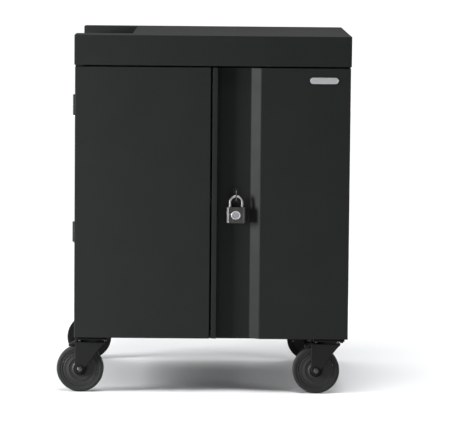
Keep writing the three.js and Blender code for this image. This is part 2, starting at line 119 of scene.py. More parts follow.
def two_tone(nt, fac, a, b):
    mx = nt.nodes.new("ShaderNodeMix")
    mx.data_type = "RGBA"
    mx.inputs["A"].default_value = (*a, 1)
    mx.inputs["B"].default_value = (*b, 1)
    nt.links.new(fac, mx.inputs["Factor"])
    return mx.outputs["Result"]


def bumped(nt, bsdf, height, strength, distance):
    b = nt.nodes.new("ShaderNodeBump")
    b.inputs["Strength"].default_value = strength
    b.inputs["Distance"].default_value = distance
    nt.links.new(height, b.inputs["Height"])
    nt.links.new(b.outputs["Normal"], bsdf.inputs["Normal"])


def scaled(rgb, k):
    return tuple(min(1.0, c * k) for c in rgb)


def coat(name, rgb, rough, spec=0.3, grain=620.0, bump=0.10, vary=0.10, metallic=0.0, marks=0.05):
    """Powder coat or moulded plastic: peel or grain, cloudy tone and faint handling marks."""
    m, nt, b = new_material(name)
    v = coords(nt)
    tone = remap(nt, noise(nt, v, 9.0, 5.0, 0.6), 0.3, 0.7, 0.0, 1.0)
    nt.links.new(two_tone(nt, tone, scaled(rgb, 1 - vary), scaled(rgb, 1 + vary)), b.inputs["Base Color"])
    smear = noise(nt, v, 22.0, 4.0, 0.6)
    nt.links.new(remap(nt, smear, 0.3, 0.7, rough - marks, rough + marks), b.inputs["Roughness"])
    bumped(nt, b, noise(nt, v, grain, 2.0, 0.5), bump, 0.0004)
    b.inputs["Specular IOR Level"].default_value = spec
    b.inputs["Metallic"].default_value = metallic
    return m


def metal(name, rgb, rough, stretch=(1.0, 1.0, 1.0), lines=900.0, bump=0.04, vary=0.08, marks=0.07):
    """Plated or polished metal with fine drawn lines and smudges."""
    m, nt, b = new_material(name)
    v = coords(nt, stretch)
    smudge = noise(nt, coords(nt), 120.0, 4.0, 0.6)
    nt.links.new(two_tone(nt, smudge, scaled(rgb, 1 - vary), scaled(rgb, 1 + vary)), b.inputs["Base Color"])
    nt.links.new(remap(nt, smudge, 0.3, 0.7, max(0.03, rough - marks), rough + marks), b.inputs["Roughness"])
    bumped(nt, b, noise(nt, v, lines, 3.0, 0.6), bump, 0.0002)
    b.inputs["Metallic"].default_value = 1.0
    return m


BODY = coat("body_powder_coat", (0.0086, 0.0096, 0.0091), 0.60, spec=0.09, grain=520.0, bump=0.10, vary=0.07, marks=0.022)
# Painted shade: a darker copy of the body coat for the pull channel's recess.
CHANNEL_SHADE_COAT = coat("channel_painted_shade_coat", (0.0080, 0.0089, 0.0085), 0.62, spec=0.08, grain=520.0, bump=0.10, vary=0.07, marks=0.022)
# Painted shade: a darker copy of the body coat for the bevel beside the channel, where the side lamp falls strongly.
BEVEL_SHADE_COAT = coat("bevel_painted_shade_coat", (0.0061, 0.0068, 0.0065), 0.60, spec=0.08, grain=520.0, bump=0.10, vary=0.07, marks=0.022)
INNER = coat("inner_powder_coat", (0.052, 0.055, 0.054), 0.55, spec=0.30, grain=520.0, bump=0.12)
RACK = coat("rack_dip_coating", (0.055, 0.057, 0.057), 0.42, spec=0.4, grain=260.0, bump=0.10)
GRIP = coat("handle_coat", (0.012, 0.012, 0.012), 0.45, spec=0.35, grain=700.0, bump=0.12)
RUBBER_GRIP = coat("grip_sleeve", (0.014, 0.014, 0.014), 0.78, spec=0.25, grain=900.0, bump=0.25)
PLASTIC = coat("device_plastic", (0.013, 0.013, 0.014), 0.48, spec=0.4, grain=1500.0, bump=0.22)
SATIN = coat("switch_plastic", (0.010, 0.010, 0.010), 0.30, spec=0.5, grain=1100.0, bump=0.05)
SHEATH = coat("lead_sheath", (0.011, 0.011, 0.012), 0.55, spec=0.35, grain=800.0, bump=0.15)
TYRE = coat("tread_rubber", (0.0132, 0.0135, 0.0135), 0.72, spec=0.14, grain=950.0, bump=0.25, vary=0.16)
HUB = coat("wheel_core_plastic", (0.0118, 0.0120, 0.0120), 0.52, spec=0.20, grain=1200.0, bump=0.15)
CASTER = coat("caster_black_coat", (0.0064, 0.0067, 0.0067), 0.55, spec=0.10, grain=700.0, bump=0.10)
# Near-black washers, partly painted shade: they stand in for the dark ring around the axle and the fork's end.
DARK_WASHER_SHADE = coat("washer_painted_shade_nylon", (0.0030, 0.0030, 0.0030), 0.70, spec=0.06, grain=900.0, bump=0.10)
ZINC = metal("zinc_plate", (0.50, 0.51, 0.52), 0.33, lines=700.0, bump=0.06)
NICKEL = metal("satin_nickel", (0.24, 0.24, 0.245), 0.36, lines=700.0, bump=0.06)
DARK_ZINC = metal("black_zinc", (0.16, 0.16, 0.165), 0.38, lines=700.0, bump=0.06)
# Painted highlight: lighter metal for the hasp tab's front edge, a thin light line along it.
EDGE_HIGHLIGHT_METAL = metal("hasp_painted_highlight_edge", (0.10, 0.10, 0.10), 0.42, lines=700.0, bump=0.06)
BOLT = metal("axle_bolt_plate", (0.066, 0.066, 0.067), 0.36, lines=700.0, bump=0.06)
BLACK_BOLT = metal("black_oxide", (0.030, 0.030, 0.031), 0.45, lines=700.0, bump=0.06)
CHROME = metal("polished_chrome", (0.42, 0.42, 0.41), 0.40, stretch=(1.0, 1.0, 0.2), lines=500.0, bump=0.02)
CASE_SIDE = metal("lock_case_plate", (0.24, 0.235, 0.238), 0.42, stretch=(1.0, 1.0, 0.15), lines=700.0, bump=0.04)
CASE_FACE = metal("lock_face_plate", (0.085, 0.088, 0.083), 0.34, stretch=(0.2, 1.0, 1.0), lines=900.0, bump=0.05)
SILVER = coat("badge_silver_enamel", (0.30, 0.305, 0.31), 0.36, spec=0.45, grain=1500.0, bump=0.03, vary=0.05, metallic=0.25, marks=0.04)
DISC_FACE = coat("disc_satin_enamel", (0.185, 0.190, 0.197), 0.40, spec=0.45, grain=1500.0, bump=0.03, vary=0.05, metallic=0.25, marks=0.04)
BRASS = metal("turned_brass", (0.48, 0.36, 0.15), 0.30, lines=1000.0, bump=0.05)
INDICATOR = coat("indicator_lens", (0.02, 0.20, 0.06), 0.25, spec=0.5, grain=400.0, bump=0.02)

BY_SLOT = {
    "body_paint": BODY, "inner_paint": INNER, "handle_grip": GRIP, "device_plastic": PLASTIC,
    "switch_plastic": SATIN, "lead_jacket": SHEATH, "plated_steel": ZINC, "badge_metal": SILVER,
    "shackle_chrome": CHROME, "padlock_case": CASE_SIDE, "key_brass": BRASS, "caster_steel": CASTER,
    "wheel_core": HUB, "wheel_tread": TYRE,
}
SLOT_OF = {s["node"]: s["material_slot"] for s in frame["record"]["subparts"]}
for name, node in NODES.items():
    node.data.materials.clear()
    node.data.materials.append(BY_SLOT[SLOT_OF[name]])


# --------------------------------------------------------------- helpers
def settle(obj, angle=35.0):
    me = obj.data
    me.shade_smooth()
    me.set_sharp_from_angle(angle=math.radians(angle))


def add(bm, name, mat, body, stands_for=(), angle=35.0, fix=True):
    if fix:
        bmesh.ops.recalc_face_normals(bm, faces=bm.faces)
    me = bpy.data.meshes.new(name)
    bm.to_mesh(me)
    bm.free()
    me.materials.append(mat)
    o = bpy.data.objects.new(name, me)
    bpy.context.scene.collection.objects.link(o)
    settle(o, angle)
    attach(o, body)
    if stands_for:
        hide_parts(*stands_for)
    return o


def bevel_mod(o, mm, segments=3, angle=25.0):
    b = o.modifiers.new("edge", "BEVEL")
    b.width = mm / 1000.0
    b.segments = segments
    b.limit_method = "ANGLE"
    b.angle_limit = math.radians(angle)
    b.harden_normals = False
    b.use_clamp_overlap = True
    return b


def sheet_mod(o, mm, offset=-1.0):
    s = o.modifiers.new("gauge", "SOLIDIFY")
    s.thickness = mm / 1000.0
    s.offset = offset
    s.use_even_offset = True
    return s


def loop_faces(bm, rings, closed_ring=True, cap_a=True, cap_b=True):
    """Skins a list of equal rings of vertices."""
    n = len(rings[0])
    for a, b in zip(rings, rings[1:]):
        for i in range(n if closed_ring else n - 1):
            j = (i + 1) % n
            bm.faces.new((a[i], a[j], b[j], b[i]))
    if cap_a:
        bm.faces.new(list(reversed(rings[0])))
    if cap_b:
        bm.faces.new(rings[-1])


def prism(bm, pts, axis, a, b):
    """Closed prism of an outline: axis z takes (x, y), axis y takes (x, z), axis x takes (y, z)."""
    def put(u, v, w):
        if axis == "z":
            return P(u, v, w)
        if axis == "y":
            return P(u, w, v)
        return P(w, u, v)
    rings = [[bm.verts.new(put(u, v, w)) for u, v in pts] for w in (a, b)]
    loop_faces(bm, rings)


def rounded(u0, u1, v0, v1, r, n=6):
    out = []
    for cu, cv, a0 in ((u1 - r, v1 - r, 0), (u0 + r, v1 - r, 90), (u0 + r, v0 + r, 180), (u1 - r, v0 + r, 270)):
        for i in range(n + 1):
            a = math.radians(a0 + 90.0 * i / n)
            out.append((cu + r * math.cos(a), cv + r * math.sin(a)))
    return out


def ring_pts(u, v, r, n, start=0.0):
    return [(u + r * math.cos(start + 2 * math.pi * i / n), v + r * math.sin(start + 2 * math.pi * i / n)) for i in range(n)]


def turn(bm, profile, axis, centre, n=48, closed=False):
    """Turned body: profile of (radius, along) about an axis through centre (mm)."""
    cx, cy, cz = centre
    rings = []
    for i in range(n):
        a = 2 * math.pi * i / n
        c, s = math.cos(a), math.sin(a)
        ring = []
        for r, h in profile:
            if axis == "y":
                ring.append((cx + r * c, cy + h, cz + r * s))
            elif axis == "z":
                ring.append((cx + r * c, cy + r * s, cz + h))
            else:
                ring.append((cx + h, cy + r * c, cz + r * s))
        rings.append(ring)
    m = len(profile)
    verts = []
    for k, (r, h) in enumerate(profile):
        if r < 1e-6:
            v = bm.verts.new(P(*rings[0][k]))
            verts.append([v] * n)
        else:
            verts.append([bm.verts.new(P(*rings[i][k])) for i in range(n)])
    for k in range(m if closed else m - 1):
        a, b = verts[k], verts[(k + 1) % m]
        for i in range(n):
            j = (i + 1) % n
            f = []
            for v in (a[i], a[j], b[j], b[i]):
                if v not in f:
                    f.append(v)
            if len(f) >= 3:
                bm.faces.new(f)


def sweep(bm, pts, radius, sides=16, closed=False, cap=True):
    """Round bar along points (mm)."""
    v = [Vector(p) for p in pts]
    n = len(v)
    rings = []
    up = None
    for i in range(n):
        if closed:
            t = (v[(i + 1) % n] - v[i - 1]).normalized()
        else:
            t = (v[min(i + 1, n - 1)] - v[max(i - 1, 0)]).normalized()
        if up is None:
            up = Vector((0, 0, 1)) if abs(t.z) < 0.9 else Vector((0, 1, 0))
        up = (up - t * up.dot(t)).normalized()
        side = t.cross(up)
        ring = []
        for k in range(sides):
            a = 2 * math.pi * k / sides
            ring.append(bm.verts.new(P(*(v[i] + (side * math.cos(a) + up * math.sin(a)) * radius))))
        rings.append(ring)
    if closed:
        rings.append(rings[0])
        loop_faces(bm, rings, cap_a=False, cap_b=False)
    else:
        loop_faces(bm, rings, cap_a=cap, cap_b=cap)


def block(bm, x0, x1, y0, y1, z0, z1, r=0.0, seg=2):
    part = bmesh.new()
    prism(part, [(x0, y0), (x1, y0), (x1, y1), (x0, y1)], "z", z0, z1)
    bmesh.ops.recalc_face_normals(part, faces=part.faces)
    if r > 0:
        bmesh.ops.bevel(part, geom=list(part.edges), offset=r / 1000.0, segments=seg, profile=0.5, affect="EDGES", clamp_overlap=True)
    merge(bm, part)


def merge(bm, part):
    me = bpy.data.meshes.new("tmp")
    part.to_mesh(me)
    part.free()
    bm.from_mesh(me)
    bpy.data.meshes.remove(me)


def eased(bm, make, offset, seg=2, angle=30.0):
    """Adds what make() builds, with its sharp edges eased by offset mm."""
    part = bmesh.new()
    make(part)
    bmesh.ops.recalc_face_normals(part, faces=part.faces)
    sharp = [e for e in part.edges if len(e.link_faces) == 2 and e.calc_face_angle(0.0) > math.radians(angle)]
    if sharp:
        bmesh.ops.bevel(part, geom=sharp, offset=offset / 1000.0, segments=seg, profile=0.5, affect="EDGES", clamp_overlap=True)
    merge(bm, part)


def paint(o, mat, test):
    """Gives the faces whose centre and normal pass the test a second material."""
    if mat.name not in [m.name for m in o.data.materials]:
        o.data.materials.append(mat)
    idx = [m.name for m in o.data.materials].index(mat.name)
    for p in o.data.polygons:
        c = p.center
        if test((c.x * 1000 - X0, c.y * 1000, c.z * 1000 - LEVEL[0]), p.normal):
            p.material_index = idx


# ------------------------------------------------------- stage and lights
WORLD_FRONT, WORLD_BACK = 0.068, 0.34
bm = bmesh.new()
bmesh.ops.create_circle(bm, cap_ends=True, segments=96, radius=5.5)
floor_me = bpy.data.meshes.new("floor")
bm.to_mesh(floor_me)
bm.free()
floor = bpy.data.objects.new("floor", floor_me)
bpy.context.scene.collection.objects.link(floor)
m, nt, b = new_material("pale_floor")
nt.links.new(two_tone(nt, noise(nt, coords(nt), 1.5, 3.0), (0.848, 0.858, 0.870), (0.868, 0.878, 0.890)), b.inputs["Base Color"])
b.inputs["Roughness"].default_value = 0.9
b.inputs["Specular IOR Level"].default_value = 0.1
# The floor runs out into the white backdrop all round, well beyond the shadows.
away = nt.nodes.new("ShaderNodeVectorMath")
away.operation = "LENGTH"
nt.links.new(coords(nt), away.inputs[0])
seen = nt.nodes.new("ShaderNodeLightPath")
fade = nt.nodes.new("ShaderNodeMath")
fade.operation = "MULTIPLY"
nt.links.new(remap(nt, away.outputs["Value"], 1.5, 2.6, 0.0, 1.0), fade.inputs[0])
nt.links.new(seen.outputs["Is Camera Ray"], fade.inputs[1])
white = nt.nodes.new("ShaderNodeEmission")
white.inputs["Strength"].default_value = 1.06
both = nt.nodes.new("ShaderNodeMixShader")
nt.links.new(fade.outputs["Value"], both.inputs["Fac"])
nt.links.new(b.outputs["BSDF"], both.inputs[1])
nt.links.new(white.outputs["Emission"], both.inputs[2])
nt.links.new(both.outputs["Shader"], nt.nodes["Material Output"].inputs["Surface"])
floor_me.materials.append(m)

world = bpy.data.worlds.new("studio")
bpy.context.scene.world = world
world.use_nodes = True
wt = world.node_tree
bg = wt.nodes["Background"]
bg.inputs["Color"].default_value = (1.0, 1.0, 1.0, 1)
# The room is bright behind the object and dim in front of it; the backdrop itself shows white.
sep = wt.nodes.new("ShaderNodeSeparateXYZ")
wt.links.new(wt.nodes.new("ShaderNodeTexCoord").outputs["Generated"], sep.inputs["Vector"])
room = remap(wt, sep.outputs["Y"], -0.45, 0.35, WORLD_FRONT, WORLD_BACK)
lp = wt.nodes.new("ShaderNodeLightPath")
show = wt.nodes.new("ShaderNodeMix")
wt.links.new(lp.outputs["Is Camera Ray"], show.inputs["Factor"])
wt.links.new(room, show.inputs["A"])
show.inputs["B"].default_value = 1.06
wt.links.new(show.outputs["Result"], bg.inputs["Strength"])


def area(name, where, target, w, h, power, colour=(1, 1, 1)):
    d = bpy.data.lights.new(name, "AREA")
    d.shape = "RECTANGLE"
    d.size, d.size_y = w, h
    d.energy = power
    d.color = colour
    o = bpy.data.objects.new(name, d)
    bpy.context.scene.collection.objects.link(o)
    o.location = where
    o.rotation_mode = "QUATERNION"
    o.rotation_quaternion = (Vector(target) - Vector(where)).to_track_quat("-Z", "Y")
    return o


def only_lights(lamp, name, objects, state):
    """Says which objects a lamp does or does not light."""
    group = bpy.data.collections.new(name)
    for o in objects:
        group.objects.link(o)
    lamp.light_linking.receiver_collection = group
    for c in group.collection_objects:
        c.light_linking.link_state = state
    return group


# Some lamps shape the object, and four of their own the floor under and around it.
strip = area("strip_left", (-2.55, -1.0, 0.75), (0.0, -0.30, 0.55), 0.5, 1.1, 302)
strip_skips = only_lights(strip, "strip_left_skips", [floor], "EXCLUDE")
over = area("front_top", (0.1, -0.75, 4.6), (0.0, 0.1, 0.0), 4.0, 2.6, 260)
only_lights(over, "front_top_skips", [floor], "EXCLUDE")
behind = area("back_top", (0.1, 2.6, 3.6), (0.0, 0.1, 0.9), 2.6, 1.6, 16)
only_lights(behind, "back_top_skips", [floor], "EXCLUDE")
# A weak low lamp stands for the light that the floor throws up at the door bottoms.
low = area("floor_bounce", (-0.05, -0.95, 0.04), (0.0, -0.34, 0.16), 1.3, 0.35, 1.6)
only_lights(low, "floor_bounce_skips", [floor], "EXCLUDE")
low.visible_camera = False
# A low panel off the rear right corner shows the back and the right side.
rear = area("rear_fill", (3.2, 1.9, 0.5), (0.2, 0.1, 0.5), 2.0, 0.7, 380)
only_lights(rear, "rear_fill_skips", [floor], "EXCLUDE")
for name, where, target, w, h, power in (
    ("floor_front", (0.1, -2.0, 4.6), (0.0, 0.0, 0.0), 3.0, 1.6, 172),
    ("floor_side", (-3.0, -0.9, 1.7), (0.0, 0.0, 0.0), 1.5, 1.2, 112),
    ("floor_back", (0.0, 5.0, 4.6), (0.0, 5.0, 0.0), 11.0, 6.5, 370),
    ("floor_fill", (2.8, -1.2, 1.0), (0.0, 0.0, 0.0), 1.4, 1.0, 47),
):
    only_lights(area(name, where, target, w, h, power), name + "_lights", [floor], "INCLUDE")

# ------------------------------------------------------- sheet metal helpers
def after(bm, mods):
    """The bmesh with modifiers worked into it, as a new bmesh."""
    me = bpy.data.meshes.new("tmp")
    bm.to_mesh(me)
    bm.free()
    o = bpy.data.objects.new("tmp", me)
    bpy.context.scene.collection.objects.link(o)
    extra = mods(o) or []
    dg = bpy.context.evaluated_depsgraph_get()
    out = bpy.data.meshes.new_from_object(o.evaluated_get(dg), depsgraph=dg)
    bpy.data.objects.remove(o)
    bpy.data.meshes.remove(me)
    for e in extra:
        data = e.data
        bpy.data.objects.remove(e)
        bpy.data.meshes.remove(data)
    res = bmesh.new()
    res.from_mesh(out)
    bpy.data.meshes.remove(out)
    return res


def cut(bm, cutter):
    """Takes the closed cutter out of the closed body."""
    bmesh.ops.recalc_face_normals(bm, faces=bm.faces)
    bmesh.ops.recalc_face_normals(cutter, faces=cutter.faces)
    me = bpy.data.meshes.new("tool")
    cutter.to_mesh(me)
    cutter.free()
    tool = bpy.data.objects.new("tool", me)
    bpy.context.scene.collection.objects.link(tool)

    def mods(o):
        m = o.modifiers.new("cut", "BOOLEAN")
        m.operation = "DIFFERENCE"
        m.solver = "EXACT"
        m.object = tool
        return [tool]
    return after(bm, mods)


def sheet(bm, faces, gauge, bend, look, seg=3):
    """Adds folded sheet made of flat faces (mm): eased bends, gauge laid behind the faces.
    look is a point on a face and the direction that face looks in."""
    part = bmesh.new()
    cache = {}

    def vert(p):
        k = tuple(round(c, 3) for c in p)
        if k not in cache:
            cache[k] = part.verts.new(P(*k))
        return cache[k]
    for f in faces:
        part.faces.new([vert(p) for p in f])
    bmesh.ops.recalc_face_normals(part, faces=part.faces)
    at = P(*look[0])
    nearest = min(part.faces, key=lambda f: (f.calc_center_median() - at).length)
    if nearest.normal.dot(Vector(look[1])) < 0:
        bmesh.ops.reverse_faces(part, faces=part.faces)

    def mods(o):
        bevel_mod(o, bend, seg)
        sheet_mod(o, gauge)
    merge(bm, after(part, mods))


def crisp(o):
    """Flat faces stay flat beside rounded edges."""
    w = o.modifiers.new("normals", "WEIGHTED_NORMAL")
    w.keep_sharp = True
    w.weight = 60
    return o


def screw(bm, centre, axis, sign, r=3.4, h=1.1, hexed=True):
    """Button-head screw standing on a face."""
    s = sign
    turn(bm, [(0, s * (h - 0.9)), (r * 0.42, s * (h - 0.9)), (r * 0.46, s * h), (r * 0.62, s * h), (r * 0.88, s * h * 0.72), (r, s * h * 0.2), (r, -s * 0.4), (0, -s * 0.4)], axis, centre, 24)


def hexagon(u, v, r, turn_by=0.0):
    return ring_pts(u, v, r, 6, turn_by)


def barrel(bm, axis, z0, z1, up=True):
    """Hinge knuckle: rounded at its outer end, nearly square where it meets the other one (its top if up)."""
    h = z1 - z0
    prof = [(2.15, 0.5), (2.6, 0.0), (2.9, 0.0), (3.5, 0.25), (3.95, 0.8), (4.1, 1.5), (4.1, h - 0.15), (3.95, h), (2.4, h), (2.15, h - 0.25)]
    if not up:
        prof = [(r, h - t) for r, t in prof]
    turn(bm, prof, "z", (axis[0], axis[1], z0), 28, closed=True)


LEFT_AXIS, RIGHT_AXIS, REAR_AXIS = (-369.4, -331.0), (363.5, -331.0), (363.5, 331.0)
FRONT_HINGE_Z, REAR_HINGE_Z = (753.0, 412.0), (780.0, 330.0)


# ----------------------------------------------------------------- top cover
bm = bmesh.new()
Z0, Z1, HX, HY = 887.0, 968.0, 370.0, 342.0
sheet(bm, [
    [(-HX, -HY, Z1), (HX, -HY, Z1), (HX, HY, Z1), (-HX, HY, Z1), (-HX, 278, Z1), (-215, 278, Z1), (-215, -240, Z1), (-HX, -240, Z1)],
    [(-HX, -HY, Z0), (HX, -HY, Z0), (HX, -HY, Z1), (-HX, -HY, Z1)],
    [(HX, -HY, Z0), (HX, HY, Z0), (HX, HY, Z1), (HX, -HY, Z1)],
    [(HX, HY, Z0), (-HX, HY, Z0), (-HX, HY, Z1), (HX, HY, Z1)],
    [(-HX, HY, Z0), (-HX, -HY, Z0), (-HX, -HY, Z1), (-HX, -240, Z1), (-HX, -240, 895), (-HX, 278, 895), (-HX, 278, Z1), (-HX, HY, Z1)],
    [(-HX, -HY, Z0), (HX, -HY, Z0), (358, -330, Z0), (-358, -330, Z0)],
    [(HX, -HY, Z0), (HX, HY, Z0), (358, 330, Z0), (358, -330, Z0)],
    [(HX, HY, Z0), (-HX, HY, Z0), (-358, 330, Z0), (358, 330, Z0)],
    [(-HX, HY, Z0), (-HX, -HY, Z0), (-358, -330, Z0), (-358, 330, Z0)],
], 2.5, 2.2, ((0, -HY, 930), (0, -1, 0)))
crisp(add(bm, "cover_shell", BODY, "root", ("top_cover",)))

# Liner of the handle well, bent up from one sheet with small corner radii.
bm = bmesh.new()
sheet(bm, [
    [(-369.7, -237.7, 897.3), (-217.3, -237.7, 897.3), (-217.3, 275.7, 897.3), (-369.7, 275.7, 897.3)],
    [(-217.3, -237.7, 897.3), (-217.3, 275.7, 897.3), (-217.3, 275.7, 967.7), (-217.3, -237.7, 967.7)],
    [(-369.7, -237.7, 897.3), (-217.3, -237.7, 897.3), (-217.3, -237.7, 967.7), (-369.7, -237.7, 967.7)],
    [(-369.7, 275.7, 897.3), (-217.3, 275.7, 897.3), (-217.3, 275.7, 967.7), (-369.7, 275.7, 967.7)],
], 2.0, 3.0, ((-290, 20, 897.3), (0, 0, 1)))
crisp(add(bm, "well_liner", BODY, "root", ("handle_tray",)))

# Push handle: end flanges, coated tube and a ribbed sleeve.
bm = bmesh.new()
prof = [(0, -237.3), (14.8, -237.3), (15.5, -236.6), (15.5, -234.6), (14.8, -233.8), (13.5, -233.3), (12.8, -231.0), (12.6, -228), (12.6, -192), (13.4, -191.4), (14.0, -189.6)]
y = -186.0
while y < 222:
    prof += [(14.0, y), (14.0, y + 5.6), (13.35, y + 6.2), (13.35, y + 7.6), (14.0, y + 8.2)]
    y += 10.0
prof += [(14.0, 227.6), (13.4, 229.4), (12.6, 230), (12.6, 266), (12.8, 269), (13.5, 271.3), (14.8, 271.8), (15.5, 272.6), (15.5, 274.6), (14.8, 275.3), (0, 275.3)]
turn(bm, prof, "y", (-347, 0, 930), 40)
handle = add(bm, "push_handle_bar", GRIP, "root", ("push_handle",))
paint(handle, RUBBER_GRIP, lambda c, n: -191.6 < c[1] < 229.6)


# --------------------------------------------------------------- side panels
def side_panel(s):
    bm = bmesh.new()
    z0, z1 = 152.3, 886.7
    x = s * 368.0
    sheet(bm, [
        [(x, -318, z0), (x, 320, z0), (x, 320, z1), (x, -318, z1)],
        [(x, -318, z0), (s * 346, -318, z0), (s * 346, -318, z1), (x, -318, z1)],
        [(x, 320, z0), (s * 346, 320, z0), (s * 346, 320, z1), (x, 320, z1)],
    ], 2.0, 2.4, ((x, 0, 500), (s, 0, 0)))
    for yy in (-285, -95, 95, 285):
        for zz in (166.0, 524.0):
            screw(bm, (x, yy, zz), "x", s, 3.6, 0.5)
    if s < 0:
        for z in FRONT_HINGE_Z:
            barrel(bm, LEFT_AXIS, z, z + 27.3)
            block(bm, -370.5, -367.2, -331, -288, z, z + 27, 0.9, 3)
            for yy in (-312, -297):
                for zz in (z + 6.5, z + 20.5):
                    screw(bm, (-370.5, yy, zz), "x", -1, 2.9, 0.8)
    else:
        for z in FRONT_HINGE_Z:
            barrel(bm, RIGHT_AXIS, z, z + 27.3)
            block(bm, 359.4, 362.4, -331, -316.6, z, z + 27, 0.6)
        for z in REAR_HINGE_Z:
            barrel(bm, REAR_AXIS, z, z + 27.3)
            block(bm, 359.4, 362.4, 318.6, 331, z, z + 27, 0.6)
    name = "left_side" if s < 0 else "right_side"
    crisp(add(bm, name + "_skin", BODY, "root", (name + "_panel",)))


side_panel(-1)
side_panel(1)

for node, axis, z in (
    ("left_hinge_pin_upper", LEFT_AXIS, 753.0), ("left_hinge_pin_lower", LEFT_AXIS, 412.0),
    ("right_hinge_pin_upper", RIGHT_AXIS, 753.0), ("right_hinge_pin_lower", RIGHT_AXIS, 412.0),
    ("rear_hinge_pin_upper", REAR_AXIS, 780.0), ("rear_hinge_pin_lower", REAR_AXIS, 330.0),
):
    bm = bmesh.new()
    turn(bm, [(0, -2.1), (2.2, -2.1), (3.0, -1.6), (3.2, -0.9), (3.0, -0.4), (2.0, -0.3), (2.0, 52.8), (1.3, 53.8), (0, 54.0)], "z", (axis[0], axis[1], z), 24)
    add(bm, node + "_turned", ZINC, "root", (node,))


# --------------------------------------------------------------- front doors
def notched_edge(x, ya, yb, keep, z0, z1, zs):
    """Edge wall of a door in the plane x, from its face (ya) to its back (yb), notched for the cabinet's hinge barrels."""
    pts = [(x, ya, z0), (x, yb, z0)]
    flanges = []
    low = z0
    for z in sorted(zs):
        a, b = z - 3.0, z + 28.0
        flanges.append((low + (12 if low == z0 else 4), a - 4))
        pts += [(x, yb, flanges[-1][0]), (x, yb, flanges[-1][1]), (x, yb, a), (x, keep, a), (x, keep, b), (x, yb, b)]
        low = b
    flanges.append((low + 4, z1 - 12))
    pts += [(x, yb, flanges[-1][0]), (x, yb, flanges[-1][1]), (x, yb, z1), (x, ya, z1)]
    return pts, flanges


bm = bmesh.new()
XA, XB, YF, YB, ZA, ZB = -368.0, -4.9, -341.0, -321.0, 154.0, 883.0
edge, tabs = notched_edge(XA, YF, YB, -337.0, ZA, ZB, FRONT_HINGE_Z)
faces = [
    [(XA, YF, ZA), (XB, YF, ZA), (XB, YF, ZB), (XA, YF, ZB)],
    edge,
    [(XB, YF, ZA), (XB, YB, ZA), (XB, YB, ZA + 12), (XB, YB, ZB - 12), (XB, YB, ZB), (XB, YF, ZB)],
    [(XA, YF, ZB), (XB, YF, ZB), (XB, YB, ZB), (XB - 14, YB, ZB), (XA + 14, YB, ZB), (XA, YB, ZB)],
    [(XA, YF, ZA), (XB, YF, ZA), (XB, YB, ZA), (XB - 14, YB, ZA), (XA + 14, YB, ZA), (XA, YB, ZA)],
    [(XA + 14, YB, ZB), (XB - 14, YB, ZB), (XB - 14, YB, ZB - 12), (XA + 14, YB, ZB - 12)],
    [(XA + 14, YB, ZA), (XB - 14, YB, ZA), (XB - 14, YB, ZA + 12), (XA + 14, YB, ZA + 12)],
    [(XB, YB, ZA + 12), (XB, YB, ZB - 12), (XB - 12, YB, ZB - 12), (XB - 12, YB, ZA + 12)],
]
for a, b in tabs:
    faces.append([(XA, YB, a), (XA, YB, b), (XA + 12, YB, b), (XA + 12, YB, a)])
sheet(bm, faces, 2.0, 1.9, ((-186, YF, 518), (0, -1, 0)))
for z in FRONT_HINGE_Z:
    barrel(bm, LEFT_AXIS, z + 27.7, z + 55, up=False)
left_door = crisp(add(bm, "left_door_pan", BODY, "left_door", ("left_door",)))

bm = bmesh.new()
block(bm, -62, -18, -323.2, -321.2, 500, 548, 0.7, 2)
for zz in (508, 540):
    screw(bm, (-40, -321.2, zz), "y", 1, 3.0, 0.6)
crisp(add(bm, "left_door_strike", DARK_ZINC, "left_door", ()))

bm = bmesh.new()
path = [(-0.9, -321.0), (-0.9, -339.5), (14.0, -339.5), (14.0, -324.0), (102.5, -324.0), (128.7, -341.0), (368.0, -341.0), (368.0, -321.0)]
edge, tabs = notched_edge(368.0, YF, YB, -337.0, ZA, ZB, FRONT_HINGE_Z)
faces = [edge]
for (xa, ya), (xb, yb) in zip(path[1:6], path[2:7]):
    faces.append([(xa, ya, ZA), (xb, yb, ZA), (xb, yb, ZB), (xa, ya, ZB)])
faces.append([(-0.9, -339.5, ZA), (-0.9, YB, ZA), (-0.9, YB, ZA + 12), (-0.9, YB, ZB - 12), (-0.9, YB, ZB), (-0.9, -339.5, ZB)])
faces.append([(-0.9, YB, ZA + 12), (-0.9, YB, ZB - 12), (10.5, YB, ZB - 12), (10.5, YB, ZA + 12)])
faces.append([(x, y, ZA) for x, y in path])
faces.append([(x, y, ZB) for x, y in path])
for a, b in tabs:
    faces.append([(368.0, YB, a), (368.0, YB, b), (356.0, YB, b), (356.0, YB, a)])
sheet(bm, faces, 2.0, 1.9, ((248, YF, 518), (0, -1, 0)))
for z in FRONT_HINGE_Z:
    barrel(bm, RIGHT_AXIS, z + 27.7, z + 55, up=False)
    block(bm, 360.0, 366.5, -333.5, -329, z + 28.5, z + 54.5, 0.6)
right_door = crisp(add(bm, "right_door_pan", BODY, "right_door", ("right_door",)))
# Painted shade: the pull channel's floor and walls take a darker copy of the body coat.
paint(right_door, CHANNEL_SHADE_COAT, lambda c, n: 13.0 < c[0] < 103.0 and c[1] < -323.0 and n.y < 0.5)
# Painted shade: the bevel beside the channel takes a darker copy of the body coat.
paint(right_door, BEVEL_SHADE_COAT, lambda c, n: 102.0 < c[0] < 128.2 and n.y < -0.3)

# Plain pill plate on the right door.
bm = bmesh.new()
prism(bm, rounded(259, 335, 841.7, 858.3, 8.2, 12), "y", -342.5, -341.2)
bmesh.ops.recalc_face_normals(bm, faces=bm.faces)
front = [f for f in bm.faces if f.normal.y < -0.9]
rim = [e for f in front for e in f.edges]
bmesh.ops.bevel(bm, geom=rim, offset=0.0005, segments=3, profile=0.5, affect="EDGES")
front = [max((f for f in bm.faces if f.normal.y < -0.99), key=lambda f: f.calc_area())]
bmesh.ops.inset_region(bm, faces=front, thickness=0.0011, depth=0.0)
bmesh.ops.inset_region(bm, faces=front, thickness=0.0003, depth=-0.00025)
add(bm, "badge_pill", SILVER, "right_door", ("badge_plate",))

